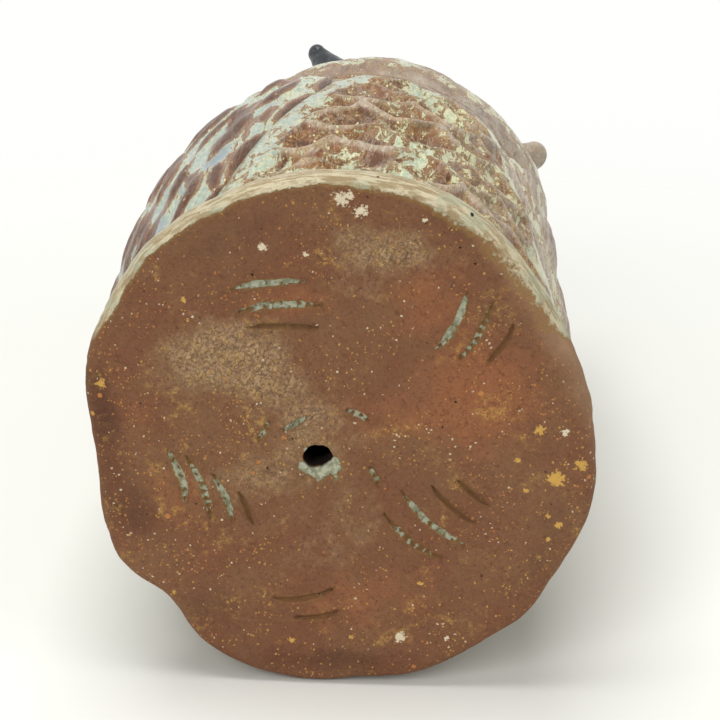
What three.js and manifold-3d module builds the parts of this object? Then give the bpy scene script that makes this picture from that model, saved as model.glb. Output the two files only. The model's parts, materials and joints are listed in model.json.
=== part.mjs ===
// A hollow stoneware owl, hand built from a base slab, a coiled body, a domed head and
// pressed-on wings, ear tufts, eye discs, eyeballs and beak, fired into one piece.
// Millimetres. The owl stands on Z = 0 and faces -Y, so its left side is +X.

import * as THREE from 'three';
import { mergeVertices } from 'three/addons/utils/BufferGeometryUtils.js';
import Module from 'manifold-3d';

const wasm = await Module();
wasm.setup();

const degree = Math.PI / 180;

// Clay and joints
const wallThickness = 6.5;
const seatGap = 0.3; // between a pressed-on piece and the clay it sits on

// Base slab, a rolled disc that stands a little proud of the wall
const slabRadius = 51.3;
const slabThickness = 6.8;
const slabOval = 1.6; // added along the long way of the oval, taken off across it
const slabOvalAngle = 74;

// Bulges and dents of the slab's edge: where in degrees, share of the radius, spread in degrees
const slabDents = [
  { at: 23, share: 0.01, spread: 5 },
  { at: 91, share: 0.014, spread: 12 },
  { at: 127, share: -0.041, spread: 28 },
  { at: 172, share: 0.018, spread: 12 },
  { at: 201, share: 0.018, spread: 7 },
  { at: 242, share: -0.023, spread: 8 },
  { at: 290, share: -0.068, spread: 10 },
  { at: 330, share: -0.068, spread: 18 },
];

const slabWidestHeight = 3;
const footRounding = 3.2; // how far the rounded lower edge reaches in over the underside
const lipRounding = 1.8; // the same, over the slab's top

// Vent hole pierced through the slab
const ventRadius = 3.1;
const ventX = 1.6;
const ventY = -4.4;
const ventRaggedness = 0.05; // share of the radius by which the pierced edge wanders
const ventOverrun = 1; // how far the cutting pin runs past each face of the slab
const ventWaves = [
  { lobes: 3, share: 1, shift: 0.6 },
  { lobes: 5, share: 0.6, shift: 2.1 },
];

// Body, from the slab up to the neck
const bodyHeight = 99.2;
const footRadius = 46.9;
const neckRadius = 40.6;
const bodyCurve = 2.2; // the higher, the longer the body stays full before it tapers
const footOval = 2.0; // the slab's oval carried up the body, gone at the neck
const bodyBow = 4.4; // the body bows to its left by this much, and the head leans back
const bowSpan = 125;
const neckGroove = 1.2;
const neckGrooveHalfHeight = 7;

// Feathers carved round the body in rows, each row half a feather on from the one below it.
// Their free edges hang down, round in the middle and pointed where two feathers meet.
const featherColumns = 20;
const featherRows = 8;
const featherZoneShare = 0.92; // of the body's height
const featherPeak = 0.6; // height of the points between feathers, in rows
const featherRidge = 1.5; // how far a free edge stands out
const featherRidgeWidth = 0.19; // in rows
const featherPit = 1.0; // depth of the gouge above a free edge
const featherPitPlace = 0.36; // share of the way from one edge to the next
const featherPitWidth = 0.24;
const featherPitAtPoint = 0.3; // share of the gouge's depth left at the points
const featherRidgeUneven = 0.6; // share of a ridge's height that the unevenness below decides
const featherPitUneven = 0.5; // the same for a gouge's depth
const featherEndFade = 1.2; // rows over which the carving starts and ends
const featherClearAngle = 4.5; // plain clay beside a wing, in degrees round the body
const featherFadeAngle = 8;

// What makes the carving uneven: waves that go round the body, and turn with every row up
const featherSway = [
  { size: 0.2, around: 2, up: 0.9, shift: 0 },
  { size: 0.12, around: 5, up: -1.7, shift: 2 },
];
const featherHeave = [
  { size: 0.2, around: 3, up: 0.5, shift: 1 },
  { size: 0.08, around: 7, up: 1.6, shift: 0 },
];
const featherDepth = [
  { size: 0.26, around: 3, up: 2.3, shift: 0 },
  { size: 0.24, around: 8, up: -1.1, shift: 1 },
];

// Head, from the neck up to the crown
const headHeight = 70;
const headRadius = 40.2;
const cheekHeight = 10; // of the head's widest level above the neck
const crownBend = 1.7;
const crownFullness = 2.4;
const headNod = 4.5; // how far the crown leans forward
const nodSpan = 56; // height above the neck over which it leans
const headFlat = 1.1; // depth of the flat patted into the back of the head
const headFlatAngle = 112;
const headFlatSpreadAngle = 26;
const headFlatRise = 14; // height above the neck at which the flat is at its deepest

// Wings, clay plates laid on the flanks
const wingThickness = 1.9;
const wingBottomRise = 5.2; // above the slab
const wingTopDrop = 7; // below the neck
const wingHalfAngle = 45; // degrees round the body
const wingLeanAngle = 30; // degrees by which its upper end turns back
const wingMiddleAngle = -8; // degrees behind the widest point of the flank, at its lower end
const wingTipShare = 0.85; // width of its lower end, as a share of the full width
const wingShoulderShare = 0.8; // the same for its upper end
const wingEdgeShare = 0.35; // thickness left at its edge
const wingEdgePower = 4; // the higher, the narrower the thinned edge
const wingEndPower = 2.4; // the higher, the squarer the wing's ends

// Long feathers on the wings: ribs that close to points, each set on from the one beside it
const wingRibs = 10;
const ribGroove = 1.15; // depth between the ribs, taken out of the plate
const ribFeathers = 3.3; // along the wing
const ribStagger = 0.46; // of a feather's length, from one rib to the next
const ribSideShift = 0.21; // of a feather's length, so that the wings aren't mirror images
const ribNarrowing = 0.9; // how far a rib closes between two feathers

// Sideways sway of the ribs: share of the wing's half width, turns across it and along it
const ribSway = [
  { size: 0.06, across: 2.5, along: 4.5, shift: 0.4 },
  { size: 0.03, across: 6, along: 9, shift: 2 },
];

// Ear tufts, blunt horns on the back of the crown. Rises are shares of the head's height, reaches are
// from the head's middle line, and angles run in degrees from the owl's side round towards its back.
const earLevelRise = 0.729; // where the head's middle line is taken
const earLeftRootRadius = 13;
const earLeftRootRise = 0.743;
const earLeftRootReach = 20;
const earLeftRootAngle = 47;
const earLeftTipRadius = 2.6;
const earLeftTipRise = 1.029;
const earLeftTipReach = 37.2;
const earLeftTipAngle = 32.5;
const earRightRootRadius = 9.5;
const earRightRootRise = 0.771;
const earRightRootReach = 22;
const earRightRootAngle = 31;
const earRightTipRadius = 3.9;
const earRightTipRise = 0.979;
const earRightTipReach = 37.1;
const earRightTipAngle = 33.3;
const earSunk = 3; // how far a horn starts behind its root
const earFlatness = 0.8;
const hornFlare = 1.12; // 1 is a straight cone, more spreads the root

// Face
const eyeRise = 34; // above the neck
const discRadius = 16.5;
const discSpacing = 1.6; // between the two discs, over the beak
const discRimHeight = 2.8;
const discRimWidth = 3.4;
const discDishHeight = 1.3; // thickness of the clay inside the rim
const eyeRadius = 6.4;
const eyeStandOut = 4.2; // beyond the dish
const beakLength = 20;
const beakRootRadius = 8;
const beakTipRadius = 1.6;
const beakRise = 26; // above the neck
const beakDroop = 10;
const beakStandOut = 10;

// Number of facets
const around = 56;
const bodySteps = 6; // inside
const bodySides = 80; // four to a feather
const featherSteps = [0, 0.2, 0.45, 0.75]; // shares of a row
const crownSteps = 13;
const wingColumns = 40; // four to a rib
const wingRows = 18;
const roundSides = 24;
const ventSides = 20;
const discRings = 5;
const quarterSteps = 4; // of a rounded corner
const hornSteps = 5;
const faceStep = 0.5; // degrees and millimetres over which the clay's slope is taken
const weldDistance = 1e-4;

// Heights that follow from the body's: the neck seam, the wings, the eyes and the beak
const neckZ = slabThickness + bodyHeight;
const wingBottom = slabThickness + wingBottomRise;
const wingTop = neckZ - wingTopDrop;
const eyeHeight = neckZ + eyeRise;
const beakHeight = neckZ + beakRise;

const clamp01 = (value) => Math.min(1, Math.max(0, value));

function smoothRise(value) {
  const t = clamp01(value);
  return t * t * (3 - 2 * t);
}

// Signed difference between two angles, the short way round.
function angleBetween(angle, other) {
  return Math.atan2(Math.sin(angle - other), Math.cos(angle - other));
}

// Outline of the slab at an angle: an oval with soft bulges and dents.
function slabOutline(angle) {
  let radius = slabRadius + slabOval * Math.cos(2 * (angle - slabOvalAngle * degree));
  for (const dent of slabDents) {
    const away = angleBetween(angle, dent.at * degree) / (dent.spread * degree);
    radius += slabRadius * dent.share * Math.exp(-(away ** 2));
  }
  return radius;
}

// Outer radius of the round clay at a height, before its oval and its bow.
function clayRadius(z) {
  const groove = neckGroove * Math.exp(-(((z - neckZ) / neckGrooveHalfHeight) ** 2));
  if (z <= neckZ) {
    const rise = clamp01((z - slabThickness) / bodyHeight);
    return footRadius - (footRadius - neckRadius) * rise ** bodyCurve - groove;
  }
  const aboveCheek = (z - neckZ - cheekHeight) / (headHeight - cheekHeight);
  if (aboveCheek <= 0) {
    return neckRadius + (headRadius - neckRadius) * smoothRise((z - neckZ) / cheekHeight) - groove;
  }
  const dome = (1 - clamp01(aboveCheek) ** crownBend) ** (1 / crownFullness);
  return headRadius * dome - groove;
}

// Middle of the clay at a height: the body bows sideways and the head nods forward.
function clayMiddle(z) {
  const x = bodyBow * Math.sin((Math.PI * (z - slabThickness)) / bowSpan);
  const y = -headNod * smoothRise((z - neckZ) / nodSpan);
  return { x, y };
}

// How far the clay is from round: an oval foot and a flat on the back of the head.
function roundness(angle, z) {
  const fade = clamp01(1 - (z - slabThickness) / bodyHeight);
  const oval = (footOval * fade * Math.cos(2 * (angle - slabOvalAngle * degree))) / footRadius;
  const away = angleBetween(angle, headFlatAngle * degree) / (headFlatSpreadAngle * degree);
  const flat = (headFlat * smoothRise((z - neckZ) / headFlatRise) * Math.exp(-(away ** 2))) / headRadius;
  return 1 + oval - flat;
}

function clayPoint(angle, radius, z) {
  const middle = clayMiddle(z);
  const reach = radius * roundness(angle, z);
  return new THREE.Vector3(middle.x + reach * Math.cos(angle), middle.y + reach * Math.sin(angle), z);
}

// Replaces every vertex by what bend gives for its angle, radius and height round Z.
function bendRound(geometry, bend) {
  const position = geometry.attributes.position;
  for (let i = 0; i < position.count; i += 1) {
    const x = position.getX(i);
    const y = position.getY(i);
    const z = position.getZ(i);
    const moved = bend(Math.atan2(y, x), Math.hypot(x, y), z);
    position.setXYZ(i, moved.x, moved.y, moved.z);
  }
  return geometry;
}

function lathe(points, sides) {
  const geometry = new THREE.LatheGeometry(points, sides);
  geometry.rotateX(Math.PI / 2);
  return geometry;
}

// Closed surface with shared vertices and no triangles of zero area.
function welded(geometry) {
  const bare = new THREE.BufferGeometry();
  bare.setAttribute('position', geometry.attributes.position.clone());
  bare.setIndex(geometry.index ? geometry.index.clone() : null);
  const merged = mergeVertices(bare, weldDistance);
  const index = merged.index.array;
  const kept = [];
  for (let i = 0; i < index.length; i += 3) {
    const [a, b, c] = [index[i], index[i + 1], index[i + 2]];
    if (a !== b && b !== c && c !== a) {
      kept.push(a, b, c);
    }
  }
  merged.setIndex(kept);
  return merged;
}

function signedVolume(geometry) {
  const position = geometry.attributes.position;
  const index = geometry.index.array;
  const [a, b, c] = [new THREE.Vector3(), new THREE.Vector3(), new THREE.Vector3()];
  let sum = 0;
  for (let i = 0; i < index.length; i += 3) {
    a.fromBufferAttribute(position, index[i]);
    b.fromBufferAttribute(position, index[i + 1]);
    c.fromBufferAttribute(position, index[i + 2]);
    sum += a.dot(b.cross(c)) / 6;
  }
  return sum;
}

// Welded geometry with its faces pointing out, whichever way its profile was drawn.
function closed(geometry) {
  const shape = welded(geometry);
  if (signedVolume(shape) < 0) {
    const index = Array.from(shape.index.array);
    for (let i = 0; i < index.length; i += 3) {
      [index[i], index[i + 1]] = [index[i + 1], index[i]];
    }
    shape.setIndex(index);
  }
  return shape;
}

function solidOf(geometry) {
  const shape = closed(geometry);
  const vertProperties = new Float32Array(shape.attributes.position.array);
  const triVerts = new Uint32Array(shape.index.array);
  const mesh = new wasm.Mesh({ numProp: 3, vertProperties, triVerts });
  return new wasm.Manifold(mesh);
}

function geometryOf(solid) {
  const mesh = solid.getMesh();
  const geometry = new THREE.BufferGeometry();
  geometry.setAttribute('position', new THREE.BufferAttribute(mesh.vertProperties, 3));
  geometry.setIndex(new THREE.BufferAttribute(mesh.triVerts, 1));
  return geometry;
}

// Slab: rounded foot edge, near upright side and a rolled lip under the wall.
function baseSlab() {
  const profile = [
    new THREE.Vector2(0, 0),
    new THREE.Vector2(slabRadius - footRounding, 0),
  ];
  for (let i = 1; i <= quarterSteps; i += 1) {
    const turn = (i / quarterSteps) * 90 * degree;
    const inset = footRounding * (1 - Math.sin(turn));
    profile.push(new THREE.Vector2(slabRadius - inset, slabWidestHeight * (1 - Math.cos(turn))));
  }
  for (let i = 1; i <= quarterSteps; i += 1) {
    const turn = (i / quarterSteps) * 90 * degree;
    const inset = lipRounding * (1 - Math.cos(turn));
    const height = slabWidestHeight + (slabThickness - slabWidestHeight) * Math.sin(turn);
    profile.push(new THREE.Vector2(slabRadius - inset, height));
  }
  profile.push(new THREE.Vector2(0, slabThickness));
  const disc = bendRound(lathe(profile, around), (angle, radius, z) => {
    const reach = (radius * slabOutline(angle)) / slabRadius;
    return new THREE.Vector3(reach * Math.cos(angle), reach * Math.sin(angle), z);
  });
  return geometryOf(solidOf(disc).subtract(solidOf(ventHole())));
}

// Vent: a ragged round hole, run past both faces of the slab.
function ventHole() {
  const profile = [
    new THREE.Vector2(0, -ventOverrun),
    new THREE.Vector2(ventRadius, -ventOverrun),
    new THREE.Vector2(ventRadius, slabThickness + ventOverrun),
    new THREE.Vector2(0, slabThickness + ventOverrun),
  ];
  const ragged = bendRound(lathe(profile, ventSides), (angle, radius, z) => {
    let wander = 0;
    for (const wave of ventWaves) {
      wander += wave.share * Math.sin(wave.lobes * angle + wave.shift);
    }
    const reach = radius * (1 + ventRaggedness * wander);
    return new THREE.Vector3(reach * Math.cos(angle), reach * Math.sin(angle), z);
  });
  ragged.translate(ventX, ventY, 0);
  return ragged;
}

// Sum of waves at a place counted in feathers round the body and in rows up it.
function waves(list, across, up) {
  let sum = 0;
  for (const wave of list) {
    const turn = (2 * Math.PI * wave.around * across) / featherColumns;
    sum += wave.size * Math.sin(turn + wave.up * up + wave.shift);
  }
  return sum;
}

// How full a feather of a row is at a place round the body: 1 in its middle, 0 at its points.
function fullness(row, across) {
  return Math.abs(Math.sin(Math.PI * (across + row / 2)));
}

// Degrees round the body beyond the nearer wing's edge.
function besideWings(angle, z) {
  const rise = (z - wingBottom) / (wingTop - wingBottom);
  const turn = wingMiddleAngle + wingLeanAngle * clamp01(rise);
  const left = Math.abs(angleBetween(angle, turn * degree)) / degree;
  const right = Math.abs(angleBetween(Math.PI - angle, turn * degree)) / degree;
  return Math.min(left, right) - wingHalfAngle;
}

// A place on the body's outside, counted in feathers round it and in rows up it.
function featherPoint(across, up) {
  const rowHeight = (bodyHeight * featherZoneShare) / featherRows;
  const row = Math.floor(up);
  const share = up - row;
  const ends = smoothRise(up / featherEndFade) * smoothRise((featherRows - up) / featherEndFade);
  const full = fullness(row, across);
  const fullNext = fullness(row + 1, across);
  const lift = featherPeak * (0.5 - (1 - share) * full - share * fullNext);
  const z = slabThickness + rowHeight * (up + ends * (lift + waves(featherHeave, across, up)));
  const angle = ((across + ends * waves(featherSway, across, up)) / featherColumns) * 2 * Math.PI;
  const gap = 1 + featherPeak * (full - fullNext);
  const fromEdge = (Math.min(share, 1 - share) * gap) / featherRidgeWidth;
  const fromPit = (share - featherPitPlace) / featherPitWidth;
  const depth = 0.5 + waves(featherDepth, across, up);
  const ridge = featherRidge * (1 - featherRidgeUneven * (1 - depth)) * Math.exp(-(fromEdge ** 2));
  const pit = featherPit * (1 - featherPitUneven * (1 - depth)) * Math.exp(-(fromPit ** 2));
  const pitShare = featherPitAtPoint + (1 - featherPitAtPoint) * full;
  const plain = smoothRise((besideWings(angle, z) - featherClearAngle) / featherFadeAngle);
  return clayPoint(angle, clayRadius(z) + ends * plain * (ridge - pit * pitShare), z);
}

// Body wall: an open tube between two flat seams, carved outside and plain inside. Its profile
// counts rows up the outside and millimetres down the inside, told apart by their radius.
function bodyWall() {
  const outside = 2;
  const inside = 1;
  const profile = [];
  for (let row = 0; row < featherRows; row += 1) {
    for (const share of featherSteps) {
      profile.push(new THREE.Vector2(outside, row + share));
    }
  }
  const lastRow = featherRows / featherZoneShare;
  profile.push(new THREE.Vector2(outside, featherRows));
  profile.push(new THREE.Vector2(outside, (featherRows + lastRow) / 2));
  profile.push(new THREE.Vector2(outside, lastRow));
  for (let i = bodySteps; i >= 0; i -= 1) {
    profile.push(new THREE.Vector2(inside, slabThickness + (bodyHeight * i) / bodySteps));
  }
  profile.push(profile[0].clone());
  const tube = bendRound(lathe(profile, bodySides), (angle, side, up) => {
    if (side > (outside + inside) / 2) {
      return featherPoint((angle / (2 * Math.PI)) * featherColumns, up);
    }
    return clayPoint(angle, clayRadius(up) - wallThickness, up);
  });
  return closed(tube);
}

// Outline of the head from the neck to the crown, with closer steps near the crown.
function crownPoints(grown) {
  const points = [];
  for (let i = 0; i <= crownSteps; i += 1) {
    const rise = Math.sin((i / crownSteps) * 90 * degree);
    const z = neckZ + headHeight * rise;
    points.push(new THREE.Vector2(i === crownSteps ? 0 : clayRadius(z) + grown, z));
  }
  points[crownSteps].y += grown;
  return points;
}

// Head shell: a dome of even wall, open at the neck.
function headShell() {
  const outside = crownPoints(0);
  const inside = [];
  const innerHeight = headHeight - wallThickness;
  for (const point of outside) {
    const rise = (point.y - neckZ) / headHeight;
    const radius = Math.max(0, point.x * (1 - wallThickness / neckRadius));
    inside.push(new THREE.Vector2(radius, neckZ + innerHeight * rise));
  }
  inside[0].x = outside[0].x - wallThickness;
  const profile = [...inside.reverse(), ...outside];
  return closed(bendRound(lathe(profile, around), clayPoint));
}

// The head as a full dome, grown by the seat gap: what pressed-on pieces are cut by.
function headKeepOut() {
  const profile = [new THREE.Vector2(0, neckZ), ...crownPoints(seatGap)];
  return solidOf(bendRound(lathe(profile, around), clayPoint));
}

// A wing's ribs: 1 on the crest of a long feather and 0 in the grooves beside it.
function ribCrest(side, across, rise) {
  const place = (wingRibs / 2) * across;
  const rib = Math.round(place);
  const wave = 0.5 + 0.5 * Math.cos(2 * Math.PI * (place - rib));
  const along = ribFeathers * rise + ribStagger * rib + ribSideShift * side;
  return clamp01(wave - ribNarrowing * (1 - Math.abs(Math.sin(Math.PI * along))));
}

function ribDrift(side, across, rise) {
  let drift = 0;
  for (const wave of ribSway) {
    drift += wave.size * Math.sin(wave.across * across + wave.along * rise + wave.shift + side);
  }
  return drift * (1 - across ** 2);
}

// Wing: a plate bent round the flank, thinner at its edges; side is 1 left, -1 right.
function wing(side) {
  const plate = new THREE.BoxGeometry(2, 1, 1, wingColumns, wingRows, 1);
  const position = plate.attributes.position;
  const height = wingTop - wingBottom;
  for (let i = 0; i < position.count; i += 1) {
    const across = position.getX(i);
    const rise = 0.5 + 0.5 * Math.sin(Math.PI * position.getY(i));
    const outer = position.getZ(i) > 0;
    const fromMiddle = Math.abs(2 * rise - 1);
    const endShare = rise < 0.5 ? wingTipShare : wingShoulderShare;
    const half = wingHalfAngle * (endShare + (1 - endShare) * Math.sqrt(1 - fromMiddle ** wingEndPower));
    const turn = wingMiddleAngle + wingLeanAngle * rise + (across + ribDrift(side, across, rise)) * half;
    const angle = side > 0 ? turn * degree : Math.PI - turn * degree;
    const edge = Math.max(Math.abs(across), fromMiddle) ** wingEdgePower;
    const groove = ribGroove * (1 - ribCrest(side, across, rise)) * (1 - edge);
    const thick = wingThickness * (1 - (1 - wingEdgeShare) * edge) - groove;
    const z = wingBottom + height * rise;
    const point = clayPoint(angle, clayRadius(z) + seatGap + (outer ? thick : 0), z);
    position.setXYZ(i, point.x, point.y, point.z);
  }
  return closed(plate);
}

// Turns a piece made along +Z to point along a direction from a place.
function aim(geometry, place, direction) {
  const turn = new THREE.Quaternion();
  turn.setFromUnitVectors(new THREE.Vector3(0, 0, 1), direction.clone().normalize());
  geometry.applyQuaternion(turn);
  geometry.translate(place.x, place.y, place.z);
  return geometry;
}

// Horn profile along +Z: a cone with a round tip, starting behind its seat.
function hornProfile(rootRadius, tipRadius, length) {
  const profile = [new THREE.Vector2(0, 0), new THREE.Vector2(rootRadius, 0)];
  const straight = length - tipRadius;
  for (let i = 1; i < hornSteps; i += 1) {
    const share = i / hornSteps;
    const radius = tipRadius + (rootRadius - tipRadius) * (1 - share) ** hornFlare;
    profile.push(new THREE.Vector2(radius, straight * share));
  }
  for (let i = 0; i <= quarterSteps; i += 1) {
    const turn = (i / quarterSteps) * 90 * degree;
    const radius = i === quarterSteps ? 0 : tipRadius * Math.cos(turn);
    profile.push(new THREE.Vector2(radius, straight + tipRadius * Math.sin(turn)));
  }
  return profile;
}

// A place on an ear's middle line; side is 1 left, -1 right.
function earPlace(side, angle, reach, rise) {
  const middle = clayMiddle(neckZ + headHeight * earLevelRise);
  const turn = side > 0 ? angle * degree : Math.PI - angle * degree;
  const x = middle.x + reach * Math.cos(turn);
  const y = middle.y + reach * Math.sin(turn);
  return new THREE.Vector3(x, y, neckZ + headHeight * rise);
}

// Ear tuft: a blunt, slightly flattened horn cut to the head it is pressed on.
function earTuft(root, rootRadius, tip, tipRadius) {
  const direction = tip.clone().sub(root);
  const length = direction.length() + earSunk;
  const horn = lathe(hornProfile(rootRadius, tipRadius, length), roundSides);
  horn.scale(1, earFlatness, 1);
  horn.rotateZ(Math.atan2(direction.y, direction.x) + 90 * degree);
  const start = root.clone().addScaledVector(direction.clone().normalize(), -earSunk);
  return geometryOf(solidOf(aim(horn, start, direction)).subtract(headKeepOut()));
}

const leftEarRoot = earPlace(1, earLeftRootAngle, earLeftRootReach, earLeftRootRise);
const leftEarTip = earPlace(1, earLeftTipAngle, earLeftTipReach, earLeftTipRise);
const rightEarRoot = earPlace(-1, earRightRootAngle, earRightRootReach, earRightRootRise);
const rightEarTip = earPlace(-1, earRightTipAngle, earRightTipReach, earRightTipRise);

// Place on the face and the direction square to the clay there.
function faceSeat(turn, z) {
  const angle = (-90 + turn) * degree;
  const place = clayPoint(angle, clayRadius(z), z);
  const beside = clayPoint(angle + faceStep * degree, clayRadius(z), z).sub(place);
  const above = clayPoint(angle, clayRadius(z + faceStep), z + faceStep).sub(place);
  return { place, direction: beside.cross(above).normalize() };
}

// Angle from the beak to an eye, so that the discs keep their spacing.
const eyeTurn = (discRadius + discSpacing / 2) / clayRadius(eyeHeight) / degree;

// Eye disc profile: flat behind, a rolled rim in front and a shallow dish inside it.
function discProfile(grown, back) {
  const profile = [];
  const rimMiddle = discRadius - discRimWidth / 2;
  for (let i = 0; i <= discRings; i += 1) {
    profile.push(new THREE.Vector2(((discRadius + grown) * i) / discRings, back));
  }
  for (let i = 0; i <= quarterSteps; i += 1) {
    const turn = (i / quarterSteps) * 180 * degree;
    const reach = (discRimWidth / 2) * Math.cos(turn) + grown;
    const low = turn > 90 * degree ? discDishHeight : discRimHeight / 2;
    const height = low + (discRimHeight - low) * Math.sin(turn);
    profile.push(new THREE.Vector2(rimMiddle + reach, seatGap + height + grown));
  }
  for (let i = discRings - 2; i >= 0; i -= 1) {
    const radius = ((rimMiddle - discRimWidth / 2) * i) / (discRings - 1);
    profile.push(new THREE.Vector2(radius, seatGap + discDishHeight + grown));
  }
  return profile;
}

// Lays a round piece on the face: its own radius and angle run over the clay.
function discBlank(side, grown, back) {
  const middleAngle = (-90 + side * eyeTurn) * degree;
  const disc = bendRound(lathe(discProfile(grown, back), roundSides), (angle, radius, out) => {
    const z = eyeHeight + radius * Math.sin(angle);
    const turn = (radius * Math.cos(angle)) / clayRadius(eyeHeight);
    return clayPoint(middleAngle + turn, clayRadius(z) + out, z);
  });
  return solidOf(disc);
}

function eyeDisc(side) {
  return geometryOf(discBlank(side, 0, seatGap).subtract(beakBlank(seatGap)));
}

// Eyeball: the part of a ball that stands out of the dish.
function eyeball(side) {
  const seat = faceSeat(side * eyeTurn, eyeHeight);
  const ball = new THREE.SphereGeometry(eyeRadius, roundSides, roundSides / 2);
  const out = seatGap + discDishHeight + eyeStandOut - eyeRadius;
  const centre = seat.place.clone().addScaledVector(seat.direction, out);
  ball.translate(centre.x, centre.y, centre.z);
  return geometryOf(solidOf(ball).subtract(discBlank(side, seatGap, -2 * eyeRadius)));
}

// Beak: a short horn that leaves the face and droops to a blunt point.
function beakBlank(grown) {
  const seat = faceSeat(0, beakHeight);
  const horn = lathe(hornProfile(beakRootRadius + grown, beakTipRadius + grown, beakLength), roundSides);
  aim(horn, new THREE.Vector3(0, 0, 0), seat.direction);
  const position = horn.attributes.position;
  const shift = seat.place.clone().addScaledVector(seat.direction, beakStandOut - beakLength);
  for (let i = 0; i < position.count; i += 1) {
    const point = new THREE.Vector3().fromBufferAttribute(position, i);
    const along = clamp01(point.dot(seat.direction) / beakLength);
    point.z -= beakDroop * along * along;
    point.add(shift);
    position.setXYZ(i, point.x, point.y, point.z);
  }
  return solidOf(horn);
}

function beak() {
  return geometryOf(beakBlank(0).subtract(headKeepOut()));
}

const owl = new THREE.Group();

function addPiece(name, geometry, color, roughness) {
  const material = new THREE.MeshStandardMaterial({ color, roughness, metalness: 0 });
  const mesh = new THREE.Mesh(geometry, material);
  mesh.name = name;
  owl.add(mesh);
}

// Colours of the fired clay and the glazes
const bareClay = 0x7b5a45;
const brownGlaze = 0x8a6a52;
const greyBrownGlaze = 0x93806c;
const mintGlaze = 0x9fb3a6;
const blackGlaze = 0x1c1f22;

const leftTuft = earTuft(leftEarRoot, earLeftRootRadius, leftEarTip, earLeftTipRadius);
const rightTuft = earTuft(rightEarRoot, earRightRootRadius, rightEarTip, earRightTipRadius);

addPiece('base_slab', baseSlab(), bareClay, 0.85);
addPiece('body_wall', bodyWall(), brownGlaze, 0.4);
addPiece('head_shell', headShell(), greyBrownGlaze, 0.4);
addPiece('left_wing', wing(1), mintGlaze, 0.3);
addPiece('right_wing', wing(-1), brownGlaze, 0.3);
addPiece('left_ear_tuft', leftTuft, blackGlaze, 0.15);
addPiece('right_ear_tuft', rightTuft, greyBrownGlaze, 0.35);
addPiece('beak', beak(), blackGlaze, 0.15);
addPiece('left_eye_disc', eyeDisc(1), mintGlaze, 0.3);
addPiece('right_eye_disc', eyeDisc(-1), mintGlaze, 0.3);
addPiece('left_eyeball', eyeball(1), blackGlaze, 0.12);
addPiece('right_eyeball', eyeball(-1), blackGlaze, 0.12);

export default owl;
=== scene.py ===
import json
import math

import bpy
import numpy as np
from mathutils import Matrix, Vector

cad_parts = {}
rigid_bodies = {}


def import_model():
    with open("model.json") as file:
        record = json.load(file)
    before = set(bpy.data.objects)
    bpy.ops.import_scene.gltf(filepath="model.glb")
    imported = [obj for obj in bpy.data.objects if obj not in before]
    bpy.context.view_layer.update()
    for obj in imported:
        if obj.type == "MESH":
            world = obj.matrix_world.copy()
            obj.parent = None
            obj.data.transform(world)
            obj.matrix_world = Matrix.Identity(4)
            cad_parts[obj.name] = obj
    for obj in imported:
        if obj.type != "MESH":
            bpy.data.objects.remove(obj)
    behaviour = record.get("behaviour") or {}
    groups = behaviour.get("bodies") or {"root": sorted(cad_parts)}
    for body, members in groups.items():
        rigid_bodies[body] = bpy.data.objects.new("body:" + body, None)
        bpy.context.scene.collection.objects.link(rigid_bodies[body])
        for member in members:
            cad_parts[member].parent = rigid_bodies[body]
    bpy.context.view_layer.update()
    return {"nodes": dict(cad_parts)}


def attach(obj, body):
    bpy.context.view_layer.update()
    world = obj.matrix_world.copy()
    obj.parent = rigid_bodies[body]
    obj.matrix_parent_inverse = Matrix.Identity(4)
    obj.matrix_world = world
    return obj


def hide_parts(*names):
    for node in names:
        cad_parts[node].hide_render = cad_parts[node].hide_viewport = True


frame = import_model()
scene = bpy.context.scene
mm = 0.001
degree = math.pi / 180
sideWord = {1: "left", -1: "right"}
print("frame loaded,", len(frame["nodes"]), "nodes")

# Numbers shared by the clay pieces
clay = {
    "slabRadius": 51.3, "slabThickness": 6.8, "slabOval": 1.6, "slabOvalAngle": 74,
    "bodyHeight": 99.2, "footRadius": 46.9, "neckRadius": 40.6, "bodyCurve": 2.2,
    "footOval": 2.0, "bodyBow": 4.4, "bowSpan": 125, "neckGroove": 1.2, "neckGrooveHalf": 7,
    "headHeight": 70, "headRadius": 40.2, "cheekHeight": 10, "crownBend": 1.7,
    "crownFullness": 2.4, "headNod": 4.5, "nodSpan": 56, "headFlat": 1.1,
    "headFlatAngle": 112, "headFlatSpread": 26, "headFlatRise": 14, "wall": 6.5,
}
# bulges and dents of the slab's edge: at, share of the radius, spread
slabDents = [(23, 0.01, 5), (91, 0.014, 12), (127, -0.041, 28), (172, 0.018, 12),
             (201, 0.018, 7), (242, -0.023, 8), (290, -0.068, 10), (330, -0.068, 18)]
slabTop = clay["slabThickness"]
neckZ = slabTop + clay["bodyHeight"]
# the camera's right and up in the plane of the underside; the owl lies turned by 157 degrees
photoRight, photoUp = np.array([-0.9205, 0.3907]), np.array([0.3907, 0.9205])


def clamp01(value):
    return np.clip(value, 0.0, 1.0)


def smoothRise(value):
    # 3t^2 - 2t^3, flat at both ends
    t = clamp01(value)
    return t * t * (3 - 2 * t)


def between(low, high, value):
    # 0 at low, 1 at high and a smooth rise from one to the other, whichever is larger
    return smoothRise((value - low) / (high - low))


def bell(value, width):
    # exp(-(value / width)^2)
    return np.exp(-(value / width) ** 2)


def turnFrom(angle, other):
    # signed difference of two angles in radians, the short way round
    return np.arctan2(np.sin(angle - other), np.cos(angle - other))


def bellAt(angle, at, spread):
    # a bell round a direction, both of its numbers in degrees
    return bell(turnFrom(angle, at * degree), spread * degree)


def around(count):
    # equal steps round a full turn
    return np.arange(count) / count * 2 * math.pi


def roundTable(angle, values):
    # straight lines between values set at equal steps round a full turn
    steps = np.arange(len(values) + 1) / len(values) * 2 * math.pi
    return np.interp(angle % (2 * math.pi), steps, values + values[:1])


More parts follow.
